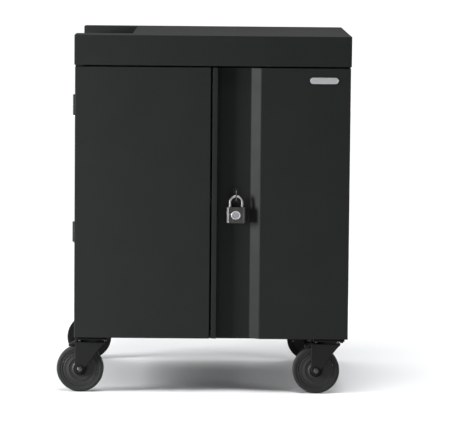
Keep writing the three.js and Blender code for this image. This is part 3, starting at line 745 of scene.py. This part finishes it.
# Magnet catches on the cabinet side.
for name, x0, x1, y0 in (("left_door_catch", -56, -20, -320.4), ("right_door_catch", 20, 56, -321.4)):
    bm = bmesh.new()
    block(bm, x0, x1, y0 + 0.5, -316, 516, 532, 1.0, 3)
    o = crisp(add(bm, name + "_housing", PLASTIC, "root", (name,)))
    bm = bmesh.new()
    block(bm, x0 + 3, x1 - 3, y0, y0 + 2, 518.6, 521.2, 0.3)
    block(bm, x0 + 3, x1 - 3, y0, y0 + 2, 526.8, 529.4, 0.3)
    crisp(add(bm, name + "_poles", ZINC, "root", ()))


# ---------------------------------------------------------- hasp and padlock
def plate_with_hole(bm, poly, cu, cv, r, axis, a, b, n=64):
    """Flat convex plate with a round hole: outline and hole share one fan of directions."""
    def put(u, v, w):
        return P(w, u, v) if axis == "x" else (P(u, w, v) if axis == "y" else P(u, v, w))
    angles = sorted([2 * math.pi * i / n for i in range(n)] + [math.atan2(v - cv, u - cu) % (2 * math.pi) for u, v in poly])
    keep = []
    for t in angles:
        if not keep or t - keep[-1] > 0.02:
            keep.append(t)
        else:
            corner = any(abs((math.atan2(v - cv, u - cu) % (2 * math.pi)) - t) < 1e-9 for u, v in poly)
            if corner:
                keep[-1] = t
    outer = []
    for t in keep:
        d = (math.cos(t), math.sin(t))
        best = 1e9
        for (u0, v0), (u1, v1) in zip(poly, poly[1:] + poly[:1]):
            ex, ey = u1 - u0, v1 - v0
            den = d[0] * ey - d[1] * ex
            if abs(den) < 1e-9:
                continue
            k = ((u0 - cu) * ey - (v0 - cv) * ex) / den
            s = ((u0 - cu) * d[1] - (v0 - cv) * d[0]) / den
            if k > 0 and -1e-6 <= s <= 1 + 1e-6:
                best = min(best, k)
        outer.append((cu + best * d[0], cv + best * d[1]))
    inner = [(cu + r * math.cos(t), cv + r * math.sin(t)) for t in keep]
    rings = [[bm.verts.new(put(u, v, w)) for u, v in line] for line, w in ((outer, a), (inner, a), (inner, b), (outer, b), (outer, a))][:4]
    rings.append(rings[0])
    loop_faces(bm, rings, cap_a=False, cap_b=False)


PX, PY = 64.8, -338.0
bm = bmesh.new()
eased(bm, lambda q: plate_with_hole(q, [(-325.0, 524.0), (-325.0, 557.0), (-341.0, 557.0), (-345.0, 552.0), (-345.0, 529.0), (-341.0, 524.0)], PY, 538.4, 4.6, "x", PX - 1.5, PX + 1.5), 0.5, 2, 40)
eased(bm, lambda q: prism(q, rounded(PX - 8, PX + 8, 520, 561, 3.0, 5), "y", -326.3, -324.2), 0.6, 2, 60)
for zz in (524.5, 556.5):
    for sx in (-5.2, 5.2):
        turn(bm, [(0, -1.2), (1.1, -1.1), (1.8, -0.6), (2.0, 0.0), (2.0, 0.6), (0, 0.6)], "y", (PX + sx, -326.3, zz), 16)
hasp = crisp(add(bm, "hasp_loop", BODY, "right_door", ("hasp_tab",)))
# Painted highlight: the tab's front edge takes a lighter metal, a thin light line along it.
paint(hasp, EDGE_HIGHLIGHT_METAL, lambda c, n: c[1] < -344.4 and abs(c[0] - PX) < 1.2 and n.y < -0.5)

bm = bmesh.new()
HW, BOW = 16.35, 538.4 - 16.35
pts = [(PX - HW, PY, 476.0), (PX - HW, PY, 500.0)]
for i in range(33):
    a = math.pi - math.pi * i / 32
    pts.append((PX + HW * math.cos(a), PY, BOW + HW * math.sin(a)))
pts += [(PX + HW, PY, 510.0), (PX + HW, PY, 502.6), (PX + HW, PY, 502.0)]
sweep(bm, pts, 3.05, 24)
add(bm, "padlock_bow", CHROME, "shackle", ("padlock_shackle",), angle=50)

bm = bmesh.new()
flank = [(PX + 24.3, PY - 3.6), (PX + 24.3, PY + 3.6), (PX + 18.9, PY + 10), (PX - 20.0, PY + 10), (PX - 25.4, PY + 3.6), (PX - 25.4, PY - 3.6), (PX - 20.0, PY - 10), (PX + 18.9, PY - 10)]
eased(bm, lambda q: prism(q, flank, "z", 467.4, 509), 0.9, 3, 30)
tools = bmesh.new()
turn(tools, [(0, 474), (3.4, 474), (3.4, 508.2), (4.2, 509.2), (4.2, 512), (0, 512)], "z", (PX - HW, PY, 0), 28)
turn(tools, [(0, 492), (3.4, 492), (3.4, 508.2), (4.2, 509.2), (4.2, 512), (0, 512)], "z", (PX + HW, PY, 0), 28)
turn(tools, [(0, 464), (6.6, 464), (6.6, 467.5), (5.8, 468.3), (5.8, 486), (0, 486)], "z", (PX, PY, 0), 32)
bm = cut(bm, tools)
case = crisp(add(bm, "padlock_case", CASE_SIDE, "lock_body", ("padlock_body",)))
paint(case, CASE_FACE, lambda c, n: abs(n.x) < 0.3)
paint(case, DARK_ZINC, lambda c, n: 468 < c[2] < 508.6 and min(math.hypot(c[0] - PX - HW, c[1] - PY), math.hypot(c[0] - PX + HW, c[1] - PY)) < 3.6 or (467 < c[2] < 488 and math.hypot(c[0] - PX, c[1] - PY) < 6.0))

bm = bmesh.new()
turn(bm, [(0, -11.05), (5.0, -11.0), (8.4, -10.72), (9.2, -10.76), (9.9, -11.2), (10.7, -11.38), (11.7, -11.32), (12.4, -11.05), (12.8, -10.6), (12.8, -10.05), (0, -10.05)], "y", (PX - 0.4, PY, 488.5), 64)
mid = P(0, 0, 488.5).z
for v in bm.verts:
    v.co.z = mid + (v.co.z - mid) * 0.9
disc = add(bm, "padlock_plain_disc", SILVER, "lock_body", ("padlock_disc",), angle=60)
paint(disc, DISC_FACE, lambda c, n: math.hypot(c[0] - PX + 0.4, (c[2] - 488.5) / 0.9) < 9.0)

bm = bmesh.new()
turn(bm, [(0, 468.0), (4.6, 468.0), (5.2, 468.3), (5.5, 469.0), (5.5, 485.5), (0, 485.5)], "z", (PX, PY, 0), 40)
tools = bmesh.new()
prism(tools, [(PX - 0.8, PY - 3.8), (PX + 0.8, PY - 3.8), (PX + 0.8, PY + 3.2), (PX - 0.8, PY + 3.2), (PX - 0.8, PY + 0.8), (PX - 1.6, PY + 0.8), (PX - 1.6, PY - 0.6), (PX - 0.8, PY - 0.6)], "z", 460, 478)
bm = cut(bm, tools)
crisp(add(bm, "padlock_key_plug", BRASS, "lock_cylinder", ("padlock_cylinder",)))


# ------------------------------------------------------------------- casters
def arc(cx, cz, r, a0, a1, n):
    return [(cx + r * math.cos(math.radians(a0 + (a1 - a0) * i / n)), cz + r * math.sin(math.radians(a0 + (a1 - a0) * i / n))) for i in range(n + 1)]


def caster(tag, cx, cy, brake):
    wx = cx - 34.0
    # top plate, raceway, king pin and its four bolts
    bm = bmesh.new()
    eased(bm, lambda q: prism(q, rounded(cx - 42, cx + 42, cy - 33, cy + 33, 6, 6), "z", 144.0, 148.2), 0.7, 2, 60)
    turn(bm, [(0, 144.6), (27.5, 144.6), (27.2, 142.8), (26.2, 141.6), (24.6, 141.0), (24.6, 140.2), (26.0, 139.6), (26.0, 138.0), (25.0, 136.9), (23.0, 136.5), (0, 136.5)], "z", (cx, cy, 0), 56)
    turn(bm, [(0, 140), (6, 140), (6, 128), (5, 126.8), (0, 126.8)], "z", (cx, cy, 0), 24)
    eased(bm, lambda q: prism(q, hexagon(cx, cy, 9.0), "z", 127.0, 131.5), 0.6, 2, 50)
    crisp(add(bm, f"caster_{tag}_mount", CASTER, "root", (f"caster_{tag}_plate",)))
    bm = bmesh.new()
    for sx in (-1, 1):
        for sy in (-1, 1):
            bx, by = cx + sx * 34.0, cy + sy * 25
            eased(bm, lambda q: prism(q, hexagon(bx, by, 4.6, 0.26), "z", 140.3, 143.6), 0.5, 2, 50)
            turn(bm, [(0, 144.2), (5.6, 144.2), (5.6, 143.5), (5.3, 143.1), (0, 143.1)], "z", (bx, by, 0), 24)
    crisp(add(bm, f"caster_{tag}_bolts", BLACK_BOLT, "root", ()))
    # pressed fork
    bm = bmesh.new()
    leg = [(wx - 13.7, 136.0)] + arc(wx, 63.5, 13.7, 180, 360, 18)
    leg += [(wx + 13.9, 66.0), (wx + 16.5, 71.0), (wx + 45.0, 110.5), (wx + 53.5, 121.5), (wx + 62.0, 130.6), (wx + 65.0, 133.2), (wx + 65.0, 136.0)]
    for y0, y1 in ((cy - 23, cy - 19), (cy + 19, cy + 23)):
        eased(bm, lambda q: prism(q, leg, "y", y0, y1), 1.2, 3, 50)
    crown = [(cx - 40, cy - 22.6), (cx + 18, cy - 22.6), (cx + 31, cy - 15), (cx + 31, cy + 15), (cx + 18, cy + 22.6), (cx - 40, cy + 22.6)]
    eased(bm, lambda q: prism(q, crown, "z", 131.8, 136.0), 1.2, 3, 30)
    lip = [(cx - 39.8, 133.5), (cx - 39.8, 137.8), (cx - 38.8, 139.0), (cx - 33.0, 139.0), (cx - 31.0, 137.4), (cx - 31.0, 133.5)]
    eased(bm, lambda q: prism(q, lip, "y", cy - 16, cy + 16), 0.8, 2, 30)
    crisp(add(bm, f"caster_{tag}_yoke", CASTER, f"{tag}_swivel", (f"caster_{tag}_fork",)))
    # axle bolt, washers and nut
    bm = bmesh.new()
    turn(bm, [(0, -26), (5, -26), (5, 26), (0, 26)], "y", (wx, cy, 63.5), 32)
    eased(bm, lambda q: prism(q, hexagon(wx, 63.5, 7.2, 0.2), "y", cy - 27.6, cy - 24.2), 0.8, 3, 50)
    turn(bm, [(0, -28.4), (2.2, -28.35), (4.2, -28.0), (5.6, -27.2), (5.8, -26.6), (0, -26.6)], "y", (wx, cy, 63.5), 32)
    eased(bm, lambda q: prism(q, hexagon(wx, 63.5, 7.6, 0.35), "y", cy + 24.2, cy + 27.6), 0.7, 3, 50)
    turn(bm, [(0, 28.5), (4.2, 28.4), (5.0, 27.6), (5.0, 27.0), (0, 27.0)], "y", (wx, cy, 63.5), 32)
    crisp(add(bm, f"caster_{tag}_axle_bolt", BOLT, f"{tag}_swivel", (f"caster_{tag}_axle",)))
    bm = bmesh.new()
    for s in (-1, 1):
        turn(bm, [(0, s * 23.1), (9.6, s * 23.1), (10.0, s * 23.5), (9.7, s * 24.3), (0, s * 24.5)], "y", (wx, cy, 63.5), 40)
    add(bm, f"caster_{tag}_washers", CASTER, f"{tag}_swivel", ())
    # near-black nylon rings, one under each steel washer and one between each fork leg and the wheel: washers the axle
    # would have, made near-black as painted shade around the axle and the fork's rounded end
    bm = bmesh.new()
    for s in (-1, 1):
        turn(bm, [(5.6, s * 23.02), (12.0, s * 23.02), (12.0, s * 23.35), (11.6, s * 23.5), (5.6, s * 23.5)], "y", (wx, cy, 63.5), 40, closed=True)
        turn(bm, [(5.6, s * 17.85), (17.3, s * 17.85), (17.5, s * 18.1), (17.3, s * 18.6), (5.6, s * 18.6)], "y", (wx, cy, 63.5), 48, closed=True)
    add(bm, f"caster_{tag}_shade_washer_rings", DARK_WASHER_SHADE, f"{tag}_swivel", ())
    # wheel core and tyre
    half = [(5.5, 17.2), (7.0, 17.8), (17.6, 17.8), (18.6, 17.5), (19.3, 16.8), (19.9, 15.2), (20.3, 14.3), (21.0, 13.85), (22.2, 13.75), (30.0, 13.75), (30.4, 14.0), (31.2, 14.0), (31.6, 13.75), (41.2, 13.8), (41.6, 14.25), (42.0, 14.4), (42.4, 14.4), (42.8, 14.25), (43.2, 13.8), (46.2, 13.75), (46.6, 13.4)]
    prof = [(r, -h) for r, h in half] + [(r, h) for r, h in reversed(half)]
    bm = bmesh.new()
    turn(bm, prof, "y", (wx, cy, 63.5), 96, closed=True)
    add(bm, f"caster_{tag}_core", HUB, f"{tag}_wheel", (f"caster_{tag}_hub",), angle=40)
    half = [(46.9, 13.4), (47.3, 13.85), (47.6, 13.95), (48.0, 14.4), (48.4, 14.55), (48.8, 14.55), (49.2, 14.4), (49.6, 14.05), (54.6, 14.2), (55.0, 14.4), (55.8, 14.4), (56.2, 14.25), (59.2, 14.4), (60.6, 14.2), (61.8, 13.5), (62.7, 12.2), (63.2, 10.4), (63.45, 7.0), (63.5, 3.0)]
    prof = [(r, -h) for r, h in half] + [(r, h) for r, h in reversed(half)]
    bm = bmesh.new()
    turn(bm, prof, "y", (wx, cy, 63.5), 128, closed=True)
    add(bm, f"caster_{tag}_tread", TYRE, f"{tag}_wheel", (f"caster_{tag}_tyre",), angle=40)
    if brake:
        bm = bmesh.new()
        lever = [(cx - 40.4, 129.0), (cx - 40.4, 137.2), (cx - 41.2, 138.4), (cx - 42.5, 139.0), (cx - 45.6, 139.0), (cx - 47.2, 138.4), (cx - 49.0, 136.6), (cx - 52.0, 134.6), (cx - 62.4, 129.9), (cx - 64.2, 128.8), (cx - 65.0, 127.4), (cx - 65.0, 124.4), (cx - 63.0, 124.6), (cx - 50.0, 130.2), (cx - 46.0, 129.1)]
        eased(bm, lambda q: prism(q, lever, "y", cy - 18, cy + 18), 0.8, 3, 30)
        for k in range(3):
            u = 55.0 + 2.9 * k
            zt = 133.2 - (u - 55.0) * 0.5
            eased(bm, lambda q: prism(q, [(cx - u - 1.0, zt - 1.4), (cx - u + 1.0, zt - 0.6), (cx - u + 0.7, zt + 0.75), (cx - u - 0.7, zt + 0.15)], "y", cy - 14, cy + 14), 0.3, 2, 40)
        turn(bm, [(0, -22.6), (1.6, -22.6), (2.0, -22.2), (2.0, 22.2), (1.6, 22.6), (0, 22.6)], "y", (cx - 43.0, cy, 131.2), 24)
        crisp(add(bm, f"caster_{tag}_pedal", CASTER, f"{tag}_brake", (f"caster_{tag}_brake",)))


LEVEL[0] = 0.0
caster("front_left", -318.25, -303.6, True)
caster("front_right", 318.25, -303.6, True)
caster("rear_left", -318.25, 303.6, False)
caster("rear_right", 318.25, 303.6, False)
LEVEL[0] = -3.5
# The rear casters and the front mounts stand in the shade of the cabinet, and the bright padlock takes a weaker lamp.
for o in bpy.context.scene.objects:
    if o.name.startswith(("caster_rear", "padlock_case", "padlock_bow", "caster_front_left_mount", "caster_front_right_mount")):
        strip_skips.objects.link(o)
for c in strip_skips.collection_objects:
    c.light_linking.link_state = "EXCLUDE"
passes = bpy.data.collections.new("strip_left_passes")
passes.objects.link(hasp)
strip.light_linking.blocker_collection = passes
for c in passes.collection_objects:
    c.light_linking.link_state = "EXCLUDE"
weak = area("side_weak", (-2.55, -1.0, 0.75), (0.0, -0.30, 0.55), 0.5, 1.1, 34)
only_lights(weak, "side_weak_lights", [o for o in bpy.context.scene.objects if o.name.startswith(("caster_rear_left", "padlock_case", "padlock_bow"))], "INCLUDE")

# ------------------------------------------------------- rear panel and door
def pan(x0, x1, yf, yb, z0, z1, edge=None, tabs=()):
    """Faces of a folded pan looking along y: face at yf, walls to yb, narrow return flanges."""
    faces = [[(x0, yf, z0), (x1, yf, z0), (x1, yf, z1), (x0, yf, z1)]]
    faces.append([(x0, yf, z0), (x0, yb, z0), (x0, yb, z0 + 12), (x0, yb, z1 - 12), (x0, yb, z1), (x0, yf, z1)])
    faces.append([(x0, yb, z0 + 12), (x0, yb, z1 - 12), (x0 + 12, yb, z1 - 12), (x0 + 12, yb, z0 + 12)])
    if edge:
        faces.append(edge)
        for a, b in tabs:
            faces.append([(x1, yb, a), (x1, yb, b), (x1 - 12, yb, b), (x1 - 12, yb, a)])
    else:
        faces.append([(x1, yf, z0), (x1, yb, z0), (x1, yb, z0 + 12), (x1, yb, z1 - 12), (x1, yb, z1), (x1, yf, z1)])
        faces.append([(x1, yb, z0 + 12), (x1, yb, z1 - 12), (x1 - 12, yb, z1 - 12), (x1 - 12, yb, z0 + 12)])
    for z, dz in ((z0, 12), (z1, -12)):
        faces.append([(x0, yf, z), (x1, yf, z), (x1, yb, z), (x1 - 14, yb, z), (x0 + 14, yb, z), (x0, yb, z)])
        faces.append([(x0 + 14, yb, z), (x1 - 14, yb, z), (x1 - 14, yb, z + dz), (x0 + 14, yb, z + dz)])
    return faces


bm = bmesh.new()
sheet(bm, pan(-368.0, 368.0, 342.0, 320.4, 152.3, 258.0), 2.0, 1.9, ((0, 342, 200), (0, 1, 0)))
tools = bmesh.new()
block(tools, 235.6, 264.4, 312, 350, 191.6, 238.4)
bm = cut(bm, tools)
for x in (-340, -170, 0, 170, 340):
    screw(bm, (x, 342.0, 166.0), "y", 1, 3.8, 1.6)
crisp(add(bm, "rear_panel_pan", BODY, "root", ("rear_panel",)))

LOUVRES = [(s * 160.0, z + 16.0 * i) for s in (-1, 1) for z in (330.0, 740.0) for i in range(6)]
bm = bmesh.new()
edge, tabs = notched_edge(368.0, 342.0, 321.0, 337.0, 262.0, 883.0, REAR_HINGE_Z)
sheet(bm, pan(-368.0, 368.0, 342.0, 321.0, 262.0, 883.0, edge, tabs), 2.0, 1.9, ((0, 342, 570), (0, 1, 0)))
tools = bmesh.new()
for x, z in LOUVRES:
    block(tools, x - 90, x + 90, 335, 350, z, z + 6)
turn(tools, [(0, 312), (9.4, 312), (9.4, 350), (0, 350)], "y", (-330, 0, 573), 40)
bm = cut(bm, tools)
for z in REAR_HINGE_Z:
    barrel(bm, REAR_AXIS, z + 27.7, z + 55, up=False)
    block(bm, 360.0, 366.5, 329, 333.5, z + 28.5, z + 54.5, 0.6)
crisp(add(bm, "rear_door_pan", BODY, "rear_door", ("rear_door",)))

# Pressed hoods over the vent slots, open downward.
bm = bmesh.new()
for x, z in LOUVRES:
    part = bmesh.new()
    grid = []
    cols = [-96, -94.5, -92.5, -90, -87, -83, -78, -60, -30, 0, 30, 60, 78, 83, 87, 90, 92.5, 94.5, 96]
    for u in cols:
        e = min(1.0, (96 - abs(u)) / 16.0)
        h = 4.4 * math.sin(0.5 * math.pi * e) ** 0.8 if e > 0 else 0.0
        line = []
        for k in range(8):
            t = k / 7.0
            line.append(part.verts.new(P(x + u, 341.9 + h * math.sin(0.5 * math.pi * t) ** 1.25, z + 9.5 - 9.0 * t)))
        grid.append(line)
    loop_faces(part, grid, closed_ring=False, cap_a=False, cap_b=False)
    bmesh.ops.recalc_face_normals(part, faces=part.faces)
    if sum(f.normal.y for f in part.faces) < 0:
        bmesh.ops.reverse_faces(part, faces=part.faces)

    def gauge(o):
        sheet_mod(o, 1.0)
    merge(bm, after(part, gauge))
add(bm, "rear_door_louvres", BODY, "rear_door", (), angle=50)

# Cam lock: dressed head, threaded shank with its nut, cam plate.
bm = bmesh.new()
turn(bm, [(0, 345.4), (6.9, 345.4), (7.3, 345.9), (7.8, 346.2), (10.4, 346.3), (11.4, 345.9), (12, 345.0), (12, 342.9), (11.6, 342.5), (9, 342.5), (9, 341)] + [p for k in range(9) for p in ((9.0, 340.2 - 2.2 * k), (8.5, 339.1 - 2.2 * k))] + [(9.0, 319.5), (9.0, 315.6), (0, 315.6)], "y", (-330, 0, 573), 48)
tools = bmesh.new()
block(tools, -330.8, -329.2, 338, 350, 569, 577)
bm = cut(bm, tools)
eased(bm, lambda q: prism(q, hexagon(-330, 573, 13.5, 0.5), "y", 334.6, 339.6), 0.7, 2, 50)
eased(bm, lambda q: prism(q, rounded(-337, -323, 564, 604, 6.4, 6), "y", 312.5, 315.5), 0.5, 2, 60)
eased(bm, lambda q: prism(q, hexagon(-330, 573, 5.4, 0.1), "y", 310.6, 312.6), 0.5, 2, 50)
crisp(add(bm, "rear_lock_barrel", NICKEL, "rear_lock", ("rear_cam_lock",)))

# ---------------------------------------------------------- inlet and rocker
bm = bmesh.new()
eased(bm, lambda q: prism(q, rounded(225, 275, 184, 246, 5, 6), "y", 342.3, 345.0), 0.8, 3, 60)
tools = bmesh.new()
prism(tools, rounded(236.3, 263.7, 192.3, 237.7, 1.5, 3), "y", 335, 350)
bm = cut(bm, tools)
part = bmesh.new()
prism(part, rounded(236, 264, 192, 238, 2, 3), "y", 321, 344.6)
tools = bmesh.new()
prism(tools, [(239, 196), (261, 196), (261, 207), (256.5, 212), (243.5, 212), (239, 207)], "y", 329, 350)
prism(tools, rounded(240, 260, 219, 233, 1.2, 3), "y", 334, 350)
merge(bm, cut(part, tools))
for x, z in ((231, 190), (269, 190), (231, 240), (269, 240)):
    screw(bm, (x, 344.9, z), "y", 1, 2.6, 0.9)
inlet = crisp(add(bm, "power_inlet_frame", PLASTIC, "root", ("power_inlet",)))
bevel_mod(inlet, 0.35, 2, 50)
paint(inlet, ZINC, lambda c, n: c[1] > 344.5 and min(math.hypot(c[0] - x, c[2] - z) for x, z in ((231, 190), (269, 190), (231, 240), (269, 240))) < 2.7)
bm = bmesh.new()
for x, z in ((244, 200), (250, 204), (256, 200)):
    eased(bm, lambda q: prism(q, [(x - 1, z), (x + 1, z), (x + 1, z + 4), (x - 1, z + 4)], "y", 328, 340), 0.35, 2, 60)
crisp(add(bm, "power_inlet_prongs", ZINC, "root", ()))

bm = bmesh.new()
c6, s6 = math.cos(math.radians(-6)), math.sin(math.radians(-6))
prof = [(-3, -4.5), (2.6, -5.75), (4.0, -5.9), (4.4, -5.5), (3.4, -2.6), (2.9, 0), (3.4, 2.6), (4.4, 5.5), (4.0, 5.9), (2.6, 5.75), (-3, 4.5)]
eased(bm, lambda q: prism(q, [(341 + y * c6 - z * s6, 226 + y * s6 + z * c6) for y, z in prof], "x", 240.6, 259.4), 0.5, 2, 50)
crisp(add(bm, "power_rocker_cap", SATIN, "rocker", ("power_rocker",)))

# -------------------------------------------- outlet strips, controller, leads
for name, z in (("upper", 570.0), ("lower", 196.0)):
    bm = bmesh.new()
    eased(bm, lambda q: prism(q, [(122.4, z), (158, z), (162, z + 4), (162, z + 41), (158, z + 45), (122.4, z + 45)], "x", -300, 300), 1.0, 2, 25)
    tools = bmesh.new()
    for i in range(6):
        x = -245 + 98 * i
        prism(tools, rounded(x - 17, x + 17, z + 9, z + 36, 3, 4), "y", 157, 170)
    bm = cut(bm, tools)
    strip_o = crisp(add(bm, name + "_outlet_housing", PLASTIC, "root", (name + "_outlet_strip",)))
    bevel_mod(strip_o, 0.5, 2, 50)
    bm = bmesh.new()
    for i in range(6):
        x = -245 + 98 * i
        part = bmesh.new()
        prism(part, rounded(x - 15.8, x + 15.8, z + 10.2, z + 34.8, 2.4, 4), "y", 156.5, 159.6)
        tools = bmesh.new()
        block(tools, x - 7.4, x - 5.6, 157.4, 165, z + 21.5, z + 29.5)
        block(tools, x + 5.6, x + 7.4, 157.4, 165, z + 22.3, z + 28.7)
        turn(tools, [(0, 157.4), (2.4, 157.4), (2.4, 165), (0, 165)], "y", (x, 0, z + 16.2), 20)
        merge(bm, cut(part, tools))
    o = crisp(add(bm, name + "_outlet_faces", SATIN, "root", ()))
    bevel_mod(o, 0.3, 2, 50)

bm = bmesh.new()
eased(bm, lambda q: prism(q, rounded(-110, 110, 200, 300, 6, 6), "z", 154.4, 226), 2.0, 3, 60)
tools = bmesh.new()
prism(tools, rounded(-92, 40, 172, 210, 3, 4), "y", 297, 310)
for k in range(9):
    prism(tools, rounded(-82 + 20 * k, -78 + 20 * k, 262, 285, 1.9, 4), "z", 224.6, 232)
bm = cut(bm, tools)
for x in (-98, 98):
    for y in (212, 288):
        screw(bm, (x, y, 226.0), "z", 1, 3.4, 1.2)
ctl = crisp(add(bm, "charge_controller_case", PLASTIC, "root", ("charge_controller",)))
bm = bmesh.new()
for k in range(6):
    turn(bm, [(0, 299.4), (1.6, 299.2), (2.3, 298.6), (2.5, 297.6), (2.5, 296.6), (0, 296.6)], "y", (-78 + 20 * k, 0, 191), 20)
add(bm, "charge_controller_lenses", INDICATOR, "root", (), angle=60)


def smooth_line(pts, step=6):
    """Centripetal Catmull-Rom through the points."""
    v = [Vector(p) for p in pts]
    v = [v[0] * 2 - v[1]] + v + [v[-1] * 2 - v[-2]]
    out = []
    for i in range(1, len(v) - 2):
        p0, p1, p2, p3 = v[i - 1:i + 3]
        t0 = 0.0
        t1 = t0 + (p1 - p0).length ** 0.5
        t2 = t1 + (p2 - p1).length ** 0.5
        t3 = t2 + (p3 - p2).length ** 0.5
        for k in range(step):
            t = t1 + (t2 - t1) * k / step
            a1 = p0 * ((t1 - t) / (t1 - t0)) + p1 * ((t - t0) / (t1 - t0))
            a2 = p1 * ((t2 - t) / (t2 - t1)) + p2 * ((t - t1) / (t2 - t1))
            a3 = p2 * ((t3 - t) / (t3 - t2)) + p3 * ((t - t2) / (t3 - t2))
            b1 = a1 * ((t2 - t) / (t2 - t0)) + a2 * ((t - t0) / (t2 - t0))
            b2 = a2 * ((t3 - t) / (t3 - t1)) + a3 * ((t - t1) / (t3 - t1))
            out.append(b1 * ((t2 - t) / (t2 - t1)) + b2 * ((t - t1) / (t2 - t1)))
    out.append(v[-2])
    return out


LEADS = {
    "inlet_lead": [(250, 320.4, 208), (250, 300, 208), (236, 272, 200), (190, 256, 192), (140, 250, 190), (111, 250, 190)],
    "lower_strip_lead": [(-60, 250, 226.6), (-60, 250, 244), (-60, 240, 261), (-60, 221, 266), (-60, 204, 254), (-60, 194, 235), (-60, 183, 221), (-60, 172, 219), (-60, 163, 219)],
    "upper_strip_lead": [(60, 250, 226.6), (60, 250, 260), (60, 226, 300), (60, 180, 340), (60, 147, 400), (60, 142, 480), (60, 142, 540), (60, 142, 569.4)],
}
for name, pts in LEADS.items():
    line = smooth_line(pts)
    bm = bmesh.new()
    sweep(bm, line, 4.0, 20)
    # ribbed strain reliefs at both ends
    for end in (line, list(reversed(line))):
        a = end[0]
        d = (end[1] - end[0]).normalized()
        for k, r in enumerate((5.6, 5.4, 5.2, 5.0)):
            sweep(bm, [a + d * (0.2 + 3.2 * k), a + d * (0.7 + 3.2 * k), a + d * (1.6 + 3.2 * k), a + d * (2.3 + 3.2 * k)], r, 20)
    add(bm, name + "_sheath", SHEATH, "root", (name,), angle=50)


# ------------------------------------------------------------- device racks
def soften(pts, r, n=5):
    """Outline with its corners rounded."""
    out = []
    for i, c in enumerate(pts):
        c = Vector(c)
        a, b = Vector(pts[i - 1]), Vector(pts[(i + 1) % len(pts)])
        p = c + (a - c).normalized() * r
        q = c + (b - c).normalized() * r
        for k in range(n + 1):
            t = k / n
            out.append(tuple(p * (1 - t) ** 2 + c * 2 * t * (1 - t) + q * t * t))
    return out


def ring_plate(bm, outer, inner, axis, a, b):
    def put(u, v, w):
        return P(w, u, v) if axis == "x" else (P(u, w, v) if axis == "y" else P(u, v, w))
    rings = [[bm.verts.new(put(u, v, w)) for u, v in line] for line, w in ((outer, a), (inner, a), (inner, b), (outer, b))]
    rings.append(rings[0])
    loop_faces(bm, rings, cap_a=False, cap_b=False)


for name, z in (("lower", 154.3), ("upper", 535.3)):
    bm = bmesh.new()
    eased(bm, lambda q: prism(q, rounded(-361.5, 361.5, -304, 104, 4, 4), "z", z, z + 2), 0.6, 2, 60)
    outer = soften([(-300, z + 1), (100, z + 1), (100, z + 180), (-200, z + 180), (-300, z + 80)], 14)
    inner = soften([(-286, z + 16), (86, z + 16), (86, z + 166), (-194, z + 166), (-286, z + 74)], 11)
    for i in range(13):
        x = -360 + 60 * i
        eased(bm, lambda q: ring_plate(q, outer, inner, "x", x - 1.5, x + 1.5), 0.9, 2, 60)
    crisp(add(bm, name + "_rack_frames", RACK, "root", (name + "_rack",)))

for name in ("base_pan", "mid_shelf", "partition_panel"):
    bevel_mod(NODES[name], 0.6, 2, 40)
NODES["base_pan"].data.materials[0] = BODY  # its front flange shows in the gap between the doors
